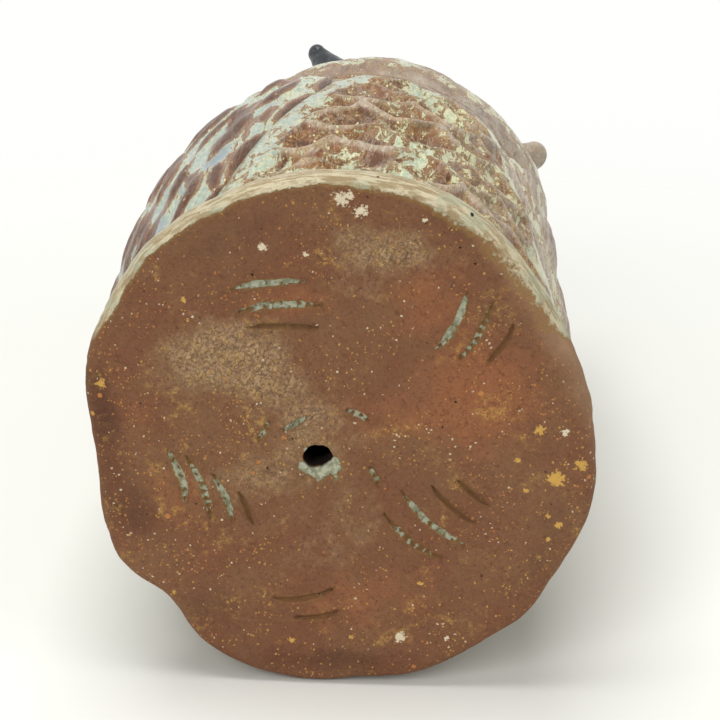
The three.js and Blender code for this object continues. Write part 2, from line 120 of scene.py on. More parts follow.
def latticeValue(ix, iy, iz, seed):
    # a repeatable pseudo-random number from 0 to 1 for each lattice point
    h = (ix * 374761393 + iy * 668265263 + iz * 2147483647 + seed * 1274126177) & 0xFFFFFFFF
    h = ((h ^ (h >> 13)) * 1274126177) & 0xFFFFFFFF
    h = ((h ^ (h >> 16)) * 2246822519) & 0xFFFFFFFF
    return (h ^ (h >> 15)).astype(np.float64) / 0xFFFFFFFF


def clayNoise(points, size, seed, octaves=3, tall=1.0):
    # value noise from -1 to 1: lattice numbers blended with 3t^2-2t^3, octaves of half the size added;
    # a tall below 1 draws it out along the owl
    points = points * [1, 1, tall]
    total = np.zeros(points.shape[:-1])
    for octave in range(octaves):
        q = points / size * 2 ** octave + 17.3 * octave
        base = np.floor(q).astype(np.int64)
        t = smoothRise(q - base)
        value = np.zeros(points.shape[:-1])
        for corner in range(8):
            dx, dy, dz = corner & 1, corner >> 1 & 1, corner >> 2 & 1
            share = ((t[..., 0] if dx else 1 - t[..., 0]) * (t[..., 1] if dy else 1 - t[..., 1])
                     * (t[..., 2] if dz else 1 - t[..., 2]))
            value += share * latticeValue(base[..., 0] + dx, base[..., 1] + dy,
                                          base[..., 2] + dz, seed + octave)
        total += 0.5 ** octave * (2 * value - 1)
    return total / (2 - 0.5 ** (octaves - 1))


def layered(points, layers, rest=0.0):
    # sum of strength * (rest + noise), each layer its strength, size, seed and octaves, then tall
    return sum(strength * (rest + clayNoise(points, *how)) for strength, *how in layers)


def slabOutline(angle):
    # oval plus bulges and dents: R + oval cos 2(a - a0) + sum of R share bell
    radius = clay["slabRadius"] + clay["slabOval"] * np.cos(2 * (angle - clay["slabOvalAngle"] * degree))
    for at, share, spread in slabDents:
        radius = radius + clay["slabRadius"] * share * bellAt(angle, at, spread)
    return radius


def clayRadius(z):
    # body: foot radius less a power of the height, less a bell for the neck; head: a superellipse dome
    rise = clamp01((z - slabTop) / clay["bodyHeight"])
    body = clay["footRadius"] - (clay["footRadius"] - clay["neckRadius"]) * rise ** clay["bodyCurve"]
    cheek = clay["neckRadius"] + (clay["headRadius"] - clay["neckRadius"]) * smoothRise(
        (z - neckZ) / clay["cheekHeight"])
    t = clamp01((z - neckZ - clay["cheekHeight"]) / (clay["headHeight"] - clay["cheekHeight"]))
    dome = clay["headRadius"] * (1 - t ** clay["crownBend"]) ** (1 / clay["crownFullness"])
    groove = clay["neckGroove"] * bell(z - neckZ, clay["neckGrooveHalf"])
    return np.where(z <= neckZ, body, np.where(t <= 0, cheek, dome)) - groove


def clayMiddle(z):
    # sideways a sine of the height, forwards a smooth rise up the head
    x = clay["bodyBow"] * np.sin(math.pi * (z - slabTop) / clay["bowSpan"])
    return x, -clay["headNod"] * smoothRise((z - neckZ) / clay["nodSpan"])


def roundness(angle, z):
    # 1 plus a two-lobed oval that fades up the body, less a bell that flattens the back of the head
    fade = clamp01(1 - (z - slabTop) / clay["bodyHeight"])
    oval = clay["footOval"] * fade * np.cos(2 * (angle - clay["slabOvalAngle"] * degree)) / clay["footRadius"]
    flat = clay["headFlat"] * smoothRise((z - neckZ) / clay["headFlatRise"])
    return 1 + oval - flat * bellAt(angle, clay["headFlatAngle"], clay["headFlatSpread"]) / clay["headRadius"]


def clayPoint(angle, radius, z):
    # middle of the clay at that height plus radius times roundness along the angle
    mx, my = clayMiddle(z)
    reach = radius * roundness(angle, z)
    return np.stack([mx + reach * np.cos(angle), my + reach * np.sin(angle), z + 0 * angle], -1)


def clayAt(angle, z, lift=0.0):
    # on the clay's outside at that height, plus a lift along the radius
    return clayPoint(angle, clayRadius(z) + lift, z)


def gridPiece(name, points, masks, closedRows=False):
    # quads between neighbouring rows and columns of a grid of points; unless the rows close, the first
    # and the last are poles, each one vertex
    rows, columns = points.shape[:2]
    number = np.arange(rows * columns).reshape(rows, columns)
    if closedRows:
        a, b = number, np.roll(number, -1, 0)
    else:
        number[0], number[-1] = number[0, 0], number[-1, 0]
        a, b = number[:-1], number[1:]
    c, d = np.roll(b, -1, 1), np.roll(a, -1, 1)
    quads = np.stack([a, d, c, b], -1).reshape(-1, 4)
    pointFirst = quads[:, 0] == quads[:, 1]
    pointLast = quads[:, 2] == quads[:, 3]
    whole = quads[~(pointFirst | pointLast)]
    tris = np.concatenate([quads[pointFirst][:, 1:], quads[pointLast][:, :3]])
    used, inverse = np.unique(np.concatenate([whole.ravel(), tris.ravel()]), return_inverse=True)
    loops = inverse.astype(np.int32)
    starts = np.concatenate([np.arange(len(whole)) * 4, len(whole) * 4 + np.arange(len(tris)) * 3])
    flat = points.reshape(-1, 3)[used] * mm
    mesh = bpy.data.meshes.new(name)
    mesh.vertices.add(len(used))
    mesh.vertices.foreach_set("co", flat.ravel())
    mesh.loops.add(len(loops))
    mesh.loops.foreach_set("vertex_index", loops)
    mesh.polygons.add(len(starts))
    mesh.polygons.foreach_set("loop_start", starts.astype(np.int32))
    mesh.polygons.foreach_set("use_smooth", np.ones(len(starts), bool))
    mesh.update(calc_edges=True)
    for key, value in masks.items():
        layer = mesh.attributes.new(key, "FLOAT", "POINT")
        full = np.broadcast_to(value, (rows, columns)).reshape(-1)[used]
        layer.data.foreach_set("value", full.astype(np.float32))
    # the sign of the enclosed volume tells which way the faces look
    first, second, third = (flat[loops[starts + step]] for step in range(3))
    volume = np.einsum("ij,ij->i", first, np.cross(second, third)).sum()
    corner, third, fourth = (flat[loops[starts[:len(whole)] + step]] for step in (0, 2, 3))
    volume += np.einsum("ij,ij->i", corner, np.cross(third, fourth)).sum()
    if volume < 0:
        mesh.flip_normals()
    piece = bpy.data.objects.new(name, mesh)
    scene.collection.objects.link(piece)
    return piece


def withBack(masks, back, axis=0):
    # masks of a piece's shown side, with nothing on the side that lies in the clay
    blank = np.zeros(back.shape[:2])
    return {key: np.concatenate([value, blank], axis) for key, value in masks.items()}


def finishPiece(piece, material, slot, *nodes):
    piece.data.materials.append(material)
    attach(piece, "root")
    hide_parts(*nodes)
    print(piece.name, len(piece.data.polygons), "faces")


# Strokes combed into the underside: x and y from its middle as the camera sees it, which way the
# tool went, how far, how much it turned, half the groove's width, and how much glaze lies in it.
combStrokes = [
    (-12.5, 31.5, 8, 15, -22, 0.85, 0.95), (-10.5, 27.2, 6, 17, -24, 0.9, 0.75),
    (-9.5, 23.0, 2, 13, -20, 0.8, 0.3),
    (22.5, 24.5, 64, 13, 30, 0.9, 0.9), (27.0, 22.6, 62, 14, 30, 0.85, 0.6),
    (31.4, 20.4, 60, 10, 26, 0.8, 0.15),
    (14.5, -20.5, -38, 15, 34, 0.9, 0.5), (18.2, -16.6, -40, 17, 34, 0.85, 0.8),
    (22.2, -13.2, -42, 12, 30, 0.8, 0.2), (26.2, -10.2, -42, 8, 20, 0.75, 0.1),
    (-29.5, -8.5, -74, 12, -30, 0.85, 0.85), (-25.2, -10.4, -72, 14, -30, 0.9, 0.65),
    (-21.0, -12.6, -70, 11, -28, 0.8, 0.9), (-17.0, -14.6, -68, 7, -18, 0.75, 0.25),
    (-6.0, -33.5, 12, 13, 40, 0.85, 0.35), (-3.6, -37.6, 10, 9, 34, 0.8, 0.1),
    (-7.6, 3.2, 34, 5.5, 10, 0.7, 0.9), (4.6, 5.4, -30, 5, 0, 0.7, 0.7),
    (7.6, -7.2, -70, 4.6, 0, 0.7, 0.8), (-13.4, 1.4, 60, 4.5, 0, 0.65, 0.6),
]
underside = {
    "sectors": 520, "holeRows": 5, "faceRows": 132, "rimRows": 14, "lipRows": 8, "topRows": 3,
    "ventX": 1.6, "ventY": -4.4, "ventFlare": 0.1, "ventRagged": [(0.1, 3.2, 5, 3)],
    "strokeShare": 0.72, "strokeDepth": 0.85, "strokeLip": 0.28, "strokeSteps": 32,
    "strokeWander": ([(0.32, 2.6, 191, 2), (0.12, 0.9, 193, 1)],
                     [(0.32, 2.6, 197, 2), (0.12, 0.9, 199, 1)]),
    "beadTurn": 3.9, "beadStart": 2.4,
    "rimWidth": 2.8, "rimHeight": 3.0, "bevelExtra": 3.6, "bevelRise": 0.6, "bevelAngle": 119,
    "bevelSpread": 32, "widthUneven": [(0.7, 15, 13, 2)], "heightUneven": [(0.3, 12, 17, 2)],
    "lipRounding": 1.8, "edgeWander": 0.28, "edgeGrow": 0.45,
    # broad patted hollows, orange-peel and grain
    "relief": [(0.2, 26, 21, 2), (0.07, 6, 23, 2), (0.022, 1.6, 29, 2)],
    "crumbReach": 3.6, "crumbStart": 2.0, "crumbUneven": [(0.8, 1.9, 41, 3)], "crumbHeight": 0.3,
    "rimLumps": [(0.16, 5, 43, 2)], "rimStrings": 0.16, "rimNibbles": 0.3, "rimGlazeFrom": 12,
    "rimGlazeTo": 34,
}
# radius of the pierced hole, and how thick crumbs of glaze lie round it, every 30 degrees as the
# camera sees it, starting from its right
ventRadii = [2.95, 2.7, 2.6, 2.5, 2.6, 2.8, 2.9, 2.85, 2.6, 2.2, 2.1, 2.3]
crumbShares = [0.75, 0.35, 0.2, 0.1, 0.15, 0.45, 0.65, 0.65, 0.8, 0.95, 0.95, 0.95]
# soft patches of another tone: x, y, half width, half height, turn, strength
tonePatches = {
    "pale": [(-21, 16.5, 13, 7.5, 8, 1.0), (-10, 9.5, 11, 6, -30, 0.55), (10.3, 39, 11, 4.6, -6, 0.8),
             (5, 33, 6, 5, 40, 0.4), (-16, -8.5, 12, 5.5, 14, 0.5), (-3, 1, 10, 8, 0, 0.4),
             (2, -16, 9, 8, 60, 0.35), (-6, -24, 8, 4, 0, 0.3)],
    "red": [(27, 10, 12, 13, 0, 0.9), (17, 29, 9, 7, 30, 0.6), (-9, 28, 9, 5, 0, 0.5),
            (-29, -12, 7, 6, 0, 0.6), (6, -33, 15, 8, 10, 0.5), (8, 5, 9, 5, 0, 0.5), (-37, 3, 4, 6, 0, 0.4)],
    "dark": [(-44, 4, 4, 12, 8, 0.7), (-39, -16, 6, 10, 30, 0.6), (-24, -36, 9, 6, -40, 0.5),
             (0, -47, 22, 3.5, 0, 0.6), (24, 44, 12, 5, -30, 0.5), (41, -17, 5, 10, -20, 0.4),
             (-20, 40, 14, 5, 24, 0.45), (36, -30, 8, 5, 45, 0.35)],
}
# larger flecks: x, y, radius
flecks = {
    "gold": [(41.9, -6.4, 1.7), (46.4, -3.6, 1.1), (38.6, 3.4, 0.9), (34.4, -2.8, 0.6), (40.6, -14.2, 0.6),
             (42.6, -16.1, 0.65), (40.7, -19.2, 0.5), (-44.2, 10.1, 0.9), (-27.9, 27.6, 0.55),
             (-27.4, 23.6, 0.45), (-31.4, -33.2, 0.5), (-8.6, -42.8, 0.6), (3.2, -41.6, 0.5),
             (16.4, -29.4, 0.5), (36.4, -9.2, 0.5)],
    "chip": [(-13.2, 38.6, 0.8), (1.4, 48.2, 1.3), (5.0, 46.2, 1.2), (3.0, 48.9, 0.7), (12.6, -41.4, 1.05),
             (43.3, 3.2, 0.75), (21.6, -41.2, 0.6), (-5.2, 37.2, 0.5), (16.6, 44.6, 0.5)],
}


def patchMask(x, y, patches):
    # sum of turned, flat-topped ellipses: strength * exp(-(a^2 + b^2)^1.3)
    total = np.zeros_like(x)
    for px, py, halfWidth, halfHeight, turn, strength in patches:
        c, s = math.cos(turn * degree), math.sin(turn * degree)
        a = ((x - px) * c + (y - py) * s) / halfWidth
        b = ((y - py) * c - (x - px) * s) / halfHeight
        total += strength * np.exp(-(a * a + b * b) ** 1.3)
    return total


def fleckMask(x, y, places):
    # highest of round cones, each 1 at its middle and 0 at twice its radius
    total = np.zeros_like(x)
    for fx, fy, radius in places:
        total = np.maximum(total, 1 - np.hypot(x - fx, y - fy) / (2 * radius))
    return clamp01(total)


def strokeFields(x, y):
    # nearest distance to each stroke's arc, as a share of its half width, and the glaze along it
    near, fill = np.zeros_like(x), np.zeros_like(x)
    flat = np.stack([x, y, 0 * x], -1)
    x, y = (place + layered(flat, layers) for place, layers in zip((x, y), underside["strokeWander"]))
    steps = underside["strokeSteps"]
    along = np.linspace(-0.5, 0.5, steps + 1)
    for index, (sx, sy, way, length, turn, half, glaze) in enumerate(combStrokes):
        heading = (way + turn * along[:-1]) * degree
        px = np.concatenate([[0], np.cumsum(np.cos(heading) * length / steps)])
        py = np.concatenate([[0], np.cumsum(np.sin(heading) * length / steps)])
        px, py = px - px[steps // 2] + sx, py - py[steps // 2] + sy
        inside = (abs(x - sx) < length) & (abs(y - sy) < length)
        distance = np.hypot(x[inside][:, None] - px, y[inside][:, None] - py)
        best = distance.argmin(1)
        share = along[best]
        width = half * underside["strokeShare"] * (1 - 0.75 * np.abs(2 * share) ** 3)
        close = 1 - distance[np.arange(len(best)), best] / (2 * width)
        wave = 0.5 + 0.5 * np.sin(share * length * underside["beadTurn"] + index * underside["beadStart"])
        laid = glaze * (0.6 + 0.4 * wave) * (1 - np.abs(2 * share) ** 4 * 0.6)
        better = close > near[inside]
        near[inside] = np.where(better, close, near[inside])
        fill[inside] = np.where(better, laid, fill[inside])
    return clamp01(near), fill


def undersideRings(ways, hole, outline, width, height):
    # rings down the vent's wall, out over the underside, round the rim and back in over the top; each
    # with its place: -1 in the vent, 0 on the face, 0 to 1 on the rim, 1 to 2 on the lip
    cfg = underside
    middle = np.array([cfg["ventX"], cfg["ventY"]])
    shares = {key: np.linspace(0, 1, cfg[key + "Rows"] + 1) for key in ("hole", "face", "rim", "lip", "top")}
    inner, start = middle + hole[:, None] * ways, (outline - width)[:, None] * ways
    rings = [(middle + (hole * (1 + cfg["ventFlare"] * (1 - t)))[:, None] * ways, slabTop * (1 - t), -1.0)
             for t in shares["hole"][:-1]]
    mouth = rings[0][0]
    rings += [(inner + (start - inner) * t, 0.0, 0.0) for t in shares["face"]]
    for t in shares["rim"][1:]:
        over, up = math.sin(t * math.pi / 2), math.cos(t * math.pi / 2)
        rings.append(((outline - width * (1 - over))[:, None] * ways, height * (1 - up), t))
    for t in shares["lip"][1:]:
        over, up = math.sin(t * math.pi / 2), math.cos(t * math.pi / 2)
        rings.append(((outline - cfg["lipRounding"] * (1 - up))[:, None] * ways,
                      height + (slabTop - height) * over, 1 + t))
    last = rings[-1][0]
    rings += [(last + (mouth - last) * t, slabTop, 2.0) for t in shares["top"][1:-1]]
    points = np.array([np.column_stack([xy, np.broadcast_to(z, len(xy))]) for xy, z, place in rings])
    return points, np.repeat(np.array([place for xy, z, place in rings])[:, None], len(ways), 1)


def buildUnderside():
    # the rings above with relief on the face: patted clay, the combed strokes with raised lips and
    # crumbs of glaze by the vent; the rim is pulled in by lumps, strings and nibbles
    cfg = underside
    angle = around(cfg["sectors"])
    ways = np.stack([np.cos(angle), np.sin(angle)], -1)
    hole = roundTable(np.arctan2(ways @ photoUp, ways @ photoRight), ventRadii)
    hole = hole * (1 + layered(np.column_stack([ways * 9, 0 * angle]), cfg["ventRagged"]))
    bevel = bellAt(angle, cfg["bevelAngle"], cfg["bevelSpread"])
    edge = np.column_stack([ways * 51, 0 * angle])
    outline = slabOutline(angle) + cfg["edgeGrow"] - cfg["edgeWander"] * (1 + clayNoise(edge, 7, 11, 3))
    width = cfg["rimWidth"] + cfg["bevelExtra"] * bevel + layered(edge, cfg["widthUneven"])
    height = cfg["rimHeight"] + cfg["bevelRise"] * bevel + layered(edge, cfg["heightUneven"])
    points, rim = undersideRings(ways, hole, outline, width, height)
    x, y = points[..., :2] @ photoRight, points[..., :2] @ photoUp
    face = (rim >= 0) & (rim < 0.99)
    outward = clamp01(rim)
    near, fill = strokeFields(x, y)
    near, fill = near * face, fill * face
    beads = 0.5 + 0.5 * clayNoise(points, 1.3, 37, 2)
    relief = layered(points, cfg["relief"], 1.0)
    relief += (cfg["strokeDepth"] * between(0.42, 0.85, near) * (1 - fill * (0.5 + 0.42 * beads))
               - cfg["strokeLip"] * bell(near - 0.3, 0.13))
    middle = np.array([cfg["ventX"], cfg["ventY"]])
    vx, vy = x - middle @ photoRight, y - middle @ photoUp
    thick = roundTable(np.arctan2(vy, vx), crumbShares)
    crumb = thick * 1.15 - (np.hypot(vx, vy) - cfg["crumbStart"]) / cfg["crumbReach"]
    crumb = clamp01(crumb + layered(points, cfg["crumbUneven"])) * (rim < 0.5)
    # how far down the vent's wall, which the clay's colour darkens as painted shade
    sunk = clamp01(points[..., 2] / slabTop) * (rim < 0)
    crumb = crumb * (rim >= 0) + (rim < 0) * clamp01(0.75 * thick) * between(0.3, 0.05, sunk)
    relief -= cfg["crumbHeight"] * between(0.25, 0.6, crumb) * (0.4 + beads) * face
    points[..., 2] += np.where(face, np.maximum(relief, 0.0) * (1 - outward), 0)
    string = clayNoise(points * [0.45, 0.45, 3], 1.9, 47, 2)
    nibbled = between(0.25, 0.8, clayNoise(points, 2.6, 44, 2))
    lump = (layered(points, cfg["rimLumps"], 1.0) + cfg["rimStrings"] * (1 + string) * between(0.2, 0.9, rim)
            + cfg["rimNibbles"] * nibbled)
    points[..., :2] -= np.where(rim > 0, lump * smoothRise(rim), 0)[..., None] * ways
    masks = {"rim": rim, "near": near, "fill": fill, "crumb": crumb, "sunk": sunk, "bevel": bevel * outward,
             "above": between(cfg["rimGlazeFrom"], cfg["rimGlazeTo"], y)}
    masks.update({key: patchMask(x, y, places) for key, places in tonePatches.items()})
    masks.update({key: fleckMask(x, y, places) for key, places in flecks.items()})
    return gridPiece("base_slab_clay", points, masks, closedRows=True)


# Feathers carved in rows: lengths across are in feathers, lengths up in rows. Each wave of an
# uneven thing is its size, how often it goes round the body, its turn with every row and its start.
feathers = {
    "columns": 20, "rows": 8, "zoneShare": 0.92, "peak": 0.6, "ridge": 1.5, "ridgeWidth": 0.25,
    "pit": 1.0, "pitPlace": 0.36, "pitWidth": 0.24, "pitAtPoint": 0.3, "endFade": 1.2,
    "clearAngle": 4.5, "fadeAngle": 8,
    "sway": [(0.2, 2, 0.9, 0), (0.12, 5, -1.7, 2)], "heave": [(0.2, 3, 0.5, 1), (0.08, 7, 1.6, 0)],
    "depth": [(0.26, 3, 2.3, 0), (0.24, 8, -1.1, 1)],
    "puddlePlace": 0.2, "puddleWidth": 0.17,
    "wanderUp": [(1.3, 12, 61, 2), (0.45, 4.5, 63, 2)], "wanderAside": [(1.3, 12, 65, 2), (0.45, 4.5, 67, 2)],
}


def waves(kind, across, up):
    # sum of size * sin(round the body + turn with height + start)
    total = 0 * across * up
    for size, rounds, climb, start in feathers[kind]:
        turn = 2 * math.pi * rounds * across / feathers["columns"]
        total = total + size * np.sin(turn + climb * up + start)
    return total


def besideWings(angle, z):
    # degrees round the body beyond the nearer wing's edge
    share = clamp01((z - wings["bottom"]) / (wings["top"] - wings["bottom"]))
    turn = (wings["middle"] + wings["lean"] * share) * degree
    left, right = np.abs(turnFrom(angle, turn)), np.abs(turnFrom(math.pi - angle, turn))
    return np.minimum(left, right) / degree - wings["half"]


def featherField(across, up):
    # free edges hang at j + peak (1/2 - |sin(pi (across + j/2))|), row j of them half a feather on from
    # row j - 1; a bell-shaped ridge stands on each edge and a gouge lies above it
    cfg = feathers
    rowHeight = clay["bodyHeight"] * cfg["zoneShare"] / cfg["rows"]
    row = np.floor(up)
    share = up - row
    ends = smoothRise(up / cfg["endFade"]) * smoothRise((cfg["rows"] - up) / cfg["endFade"])
    full, fullNext = (np.abs(np.sin(math.pi * (across + (row + step) / 2))) for step in (0, 1))
    lift = cfg["peak"] * (0.5 - (1 - share) * full - share * fullNext)
    z = slabTop + rowHeight * (up + ends * (lift + waves("heave", across, up)))
    angle = (across + ends * waves("sway", across, up)) / cfg["columns"] * 2 * math.pi
    gap = 1 + cfg["peak"] * (full - fullNext)
    depth = 0.5 + waves("depth", across, up)
    plain = smoothRise((besideWings(angle, z) - cfg["clearAngle"]) / cfg["fadeAngle"]) * ends
    ridge = bell(np.minimum(share, 1 - share) * gap, cfg["ridgeWidth"]) * (0.4 + 0.6 * depth)
    pit = bell(share - cfg["pitPlace"], cfg["pitWidth"]) * (0.5 + 0.5 * depth)
    pit = pit * (cfg["pitAtPoint"] + (1 - cfg["pitAtPoint"]) * full)
    puddle = bell(share * gap - cfg["puddlePlace"], cfg["puddleWidth"]) * full ** 2
    # the hand's wandering, small against the rows
    where = clayAt(angle, z)
    z = z + ends * layered(where, cfg["wanderUp"])
    angle = angle + ends * layered(where, cfg["wanderAside"]) / clay["footRadius"]
    return angle, z, ridge * plain, pit * plain, puddle * plain, plain


wings = {
    "bottom": 12.0, "top": 99.0, "half": 45.0, "middle": -8.0, "lean": 30.0, "thick": 1.9, "seat": 0.3,
    "tipShare": 0.85, "shoulderShare": 0.8, "endPower": 2.4, "cornerPower": 24, "columns": 240, "rows": 220,
    "ribs": 10, "groove": 1.15, "feathers": 3.3, "stagger": 0.46, "sideShift": 0.21, "narrowing": 0.78,
    "sway": [(0.06, 2.5, 4.5, 0.4), (0.03, 6, 9, 2)], "backColumns": 12, "backReach": 0.98, "buried": 1.2,
    "backDish": 0.6, "edgeSunk": 0.9, "edgeAcross": 9, "edgeAlong": 16, "highest": 2.1, "minorRise": 0.13,
    "fine": 0.16, "lumps": 0.25, "threads": 0.22, "blueRise": (110, 40), "blueRight": 0.12,
    "shoreAt": 0.42, "shoreWidth": 0.12, "pooled": (0.5, 0.22), "raised": (0.8, 1.1), "pitShadeAndDarkTone": (0.5, 0.9),
    # how strongly the glaze pools on the left and the right wing, its least, and how pale it is laid, partly
    # as painted reflection
    "paint": {1: (0.64, 0.04, 0.0), -1: (0.5, 0.06, 0.5)},
}


def wingPlace(side, across, rise):
    # angle and height: middle + lean * rise + (across + sway) * half, the half narrowed towards both ends
    cfg = wings
    fromMiddle = np.abs(2 * rise - 1)
    endShare = np.where(rise < 0.5, cfg["tipShare"], cfg["shoulderShare"])
    half = cfg["half"] * (endShare + (1 - endShare) * np.sqrt(1 - fromMiddle ** cfg["endPower"]))
    half = half * (1 - fromMiddle ** cfg["cornerPower"]) ** (1 / 3)
    sway = sum(size * np.sin(over * across + along * rise + start + side)
               for size, over, along, start in cfg["sway"]) * (1 - across ** 2)
    turn = cfg["middle"] + cfg["lean"] * rise + (across + sway) * half
    angle = turn * degree if side > 0 else math.pi - turn * degree
    return angle, cfg["bottom"] + (cfg["top"] - cfg["bottom"]) * rise


def ribCrest(side, across, rise):
    # cosine ribs across the wing, each closed to points along it where |sin| of its own place is low
    cfg = wings
    place = cfg["ribs"] / 2 * across
    rib = np.round(place)
    wave = 0.5 + 0.5 * np.cos(2 * math.pi * (place - rib))
    along = cfg["feathers"] * rise + cfg["stagger"] * rib + cfg["sideShift"] * side
    return clamp01(wave - cfg["narrowing"] * (1 - np.abs(np.sin(math.pi * along))))


def glazeRuns(angle, z):
    # noise shared by body and head: broad clouds, knots and grain, and streaks drawn out along the owl
    where = clayAt(angle, z)
    return (where, clayNoise(where, 14, 105, 2, 0.55), clayNoise(where, 6, 89, 3, 0.6),
            clayNoise(where, 2.4, 90, 2), clayNoise(where, 3.4, 97, 3, 0.16))


nape = {"start": (92, 99), "end": (108, 118), "behind": 98, "spread": 34, "least": 0.35}


def napeMask(angle, z):
    # the smooth brown band round the back of the neck, strongest behind
    share = nape["least"] + (1 - nape["least"]) * bellAt(angle, nape["behind"], nape["spread"])
    return between(*nape["start"], z) * (1 - between(*nape["end"], z)) * share


def seamFade(away):
    # relief fades out over 3 mm at the seam between body and head
    return between(0, 3, away + 1.5)


body = {
    "columns": 480, "rowSteps": 20, "collarSteps": 12, "innerRows": 4, "knots": 0.85, "lumps": 0.45,
    "dimples": 0.32, "carving": 1.25, "grain": 0.08, "streak": 0.12, "underWings": 1.0,
    # bands of height in mm, of degrees beyond the wings and of degrees round the body, each from 0 to 1
    "foot": (10, 7), "neck": (100, 103), "wingEdge": (-1.5, 2.5), "nearWing": (40, 5), "paleAndSheenFrom": (84, 112),
    "paleAndSheenTo": (250, 220), "stripeRise": (22, 34), "stripeAt": 3.5, "stripeWander": 3.5, "stripeWidth": 5.5,
    "stripeRight": 0.3, "smoothPool": 0.12,
}


def buildBody():
    # a tube: outside, ridges less pits plus noise, sunk under the wings; then a plain inside back down
    across = np.arange(body["columns"]) / body["columns"] * feathers["columns"]
    zone = np.linspace(0, feathers["rows"], feathers["rows"] * body["rowSteps"] + 1)
    collar = np.linspace(feathers["rows"], feathers["rows"] / feathers["zoneShare"], body["collarSteps"] + 1)
    a, h, ridge, pit, puddle, carved = featherField(*np.meshgrid(across, np.concatenate([zone, collar[1:]])))
    where, cloud, knots, grain, streak = glazeRuns(a, h)
    beside = besideWings(a, h)
    shown = between(*body["wingEdge"], beside) + between(*body["foot"], h) + between(*body["neck"], h)
    shown = clamp01(shown)
    rough = body["knots"] * knots + body["dimples"] * clayNoise(where, 3.2, 92, 2)
    height = (feathers["ridge"] * ridge - feathers["pit"] * pit) * body["carving"]
    height = height + shown * (body["lumps"] * clayNoise(where, 24, 83, 2) + body["grain"] * grain
                               + body["streak"] * streak * (1 - carved)
                               + rough * (0.3 + 0.7 * carved)) - body["underWings"] * (1 - shown)
    outer = clayAt(a, h, height * seamFade(neckZ - h))
    inner = clayAt(*np.meshgrid(around(body["columns"]), np.linspace(neckZ, slabTop, body["innerRows"] + 1)),
                   -clay["wall"])
    smooth = napeMask(a, h)
    pool = 0.45 + 0.34 * puddle + 0.18 * cloud - 0.24 * knots - 0.16 * pit - 0.12 * ridge
    pool = pool * (1 - 0.75 * smooth) + (1 - carved) * (1 - smooth) * body["smoothPool"]
    # a stripe of pooled glaze along the wings' edges, strongest on the left
    stripe = bell(beside - body["stripeAt"] - body["stripeWander"] * knots, body["stripeWidth"])
    stripe = stripe * between(*body["stripeRise"], h)
    stripe = np.where(np.cos(a) > 0, 1.0, body["stripeRight"]) * stripe
    pool = np.maximum(pool, stripe * (0.62 + 0.3 * cloud))
    # the right flank is laid paler: partly paler glaze, partly painted reflection of the white surroundings
    rightward = between(*body["paleAndSheenFrom"], np.degrees(a)) * between(*body["paleAndSheenTo"], np.degrees(a))
    # the gouges' mask also darkens the brown in colour there: painted shade in the carved hollows
    masks = {"crest": clamp01(ridge * 1.15 + 0.2 * knots + 0.6 * smooth - 0.1) * (1 - 0.7 * stripe),
             "pool": clamp01(pool), "blue": between(*body["nearWing"], beside) * 0.5 * (np.cos(a) > 0),
             "paleAndSheen": rightward * (0.6 + 0.3 * cloud), "pitShadeAndDarkTone": pit}
    masks = withBack(masks, inner)
    return gridPiece("body_wall_glazed", np.concatenate([outer, inner]), masks, closedRows=True)


def joinEnds(points):
    # each end row drawn together into its middle
    points[0], points[-1] = points[0].mean(0), points[-1].mean(0)
    return points


head = {"columns": 400, "rows": 150, "innerRows": 6, "lumps": 0.4, "grain": 0.08, "streak": 0.3,
        "napeStreak": 0.12, "knots": 0.3, "locks": 0.35, "locksRise": (112, 124), "crownFade": 14,
        "blue": 0.15, "paleAndSheenFrom": (80, 110), "paleAndSheenTo": (250, 220), "leastPaleAndSheen": 0.2}


def buildHead():
    # a dome from the neck seam to the crown with noise on it, then a plain smaller dome inside it
    angle = around(head["columns"])
    rows, innerRows = (neckZ + clay["headHeight"] * np.sin(np.linspace(0, 1, head[key] + 1) * math.pi / 2)
                       for key in ("rows", "innerRows"))
    a, h = np.meshgrid(angle, rows)
    where, cloud, knots, grain, streak = glazeRuns(a, h)
    smooth = napeMask(a, h)
    mottle = clayNoise(where, 3.5, 103, 3, 0.7)
    height = (head["lumps"] * clayNoise(where, 24, 83, 2) + head["grain"] * grain
              + head["streak"] * streak * (1 - smooth) + head["napeStreak"] * streak * smooth
              + head["knots"] * knots
              + head["locks"] * between(*head["locksRise"], h) * clayNoise(where, 7, 101, 2, 0.4))
    height = height * seamFade(h - neckZ)
    outer = clayAt(a, h, height * between(0, head["crownFade"], clayRadius(h)))
    ai, hi = np.meshgrid(angle, innerRows)
    inner = clayPoint(ai, clayRadius(hi) * (1 - clay["wall"] / clay["neckRadius"]), hi)
    inner[..., 2] = neckZ + (clay["headHeight"] - clay["wall"]) * (inner[..., 2] - neckZ) / clay["headHeight"]
    inner[0] = clayAt(angle, neckZ + 0 * angle, -clay["wall"])
    pool = (0.38 + 0.2 * between(-0.1, 0.5, streak) + 0.25 * cloud + 0.22 * mottle) * (1 - 0.6 * smooth)
    # the right side of the head is laid paler: partly paler glaze, partly painted reflection of the white
    # surroundings
    rightward = between(*head["paleAndSheenFrom"], np.degrees(a)) * between(*head["paleAndSheenTo"], np.degrees(a))
    masks = {"crest": clamp01(0.34 + 0.5 * knots + 0.15 * smooth), "pool": clamp01(pool),
             "blue": head["blue"] + 0 * a, "paleAndSheen": rightward * 0.5 + head["leastPaleAndSheen"],
             "pitShadeAndDarkTone": clamp01(-mottle)}
    masks = withBack({key: value[::-1] for key, value in masks.items()}, inner)
    return gridPiece("head_shell_glazed", joinEnds(np.concatenate([outer[::-1], inner])), masks)


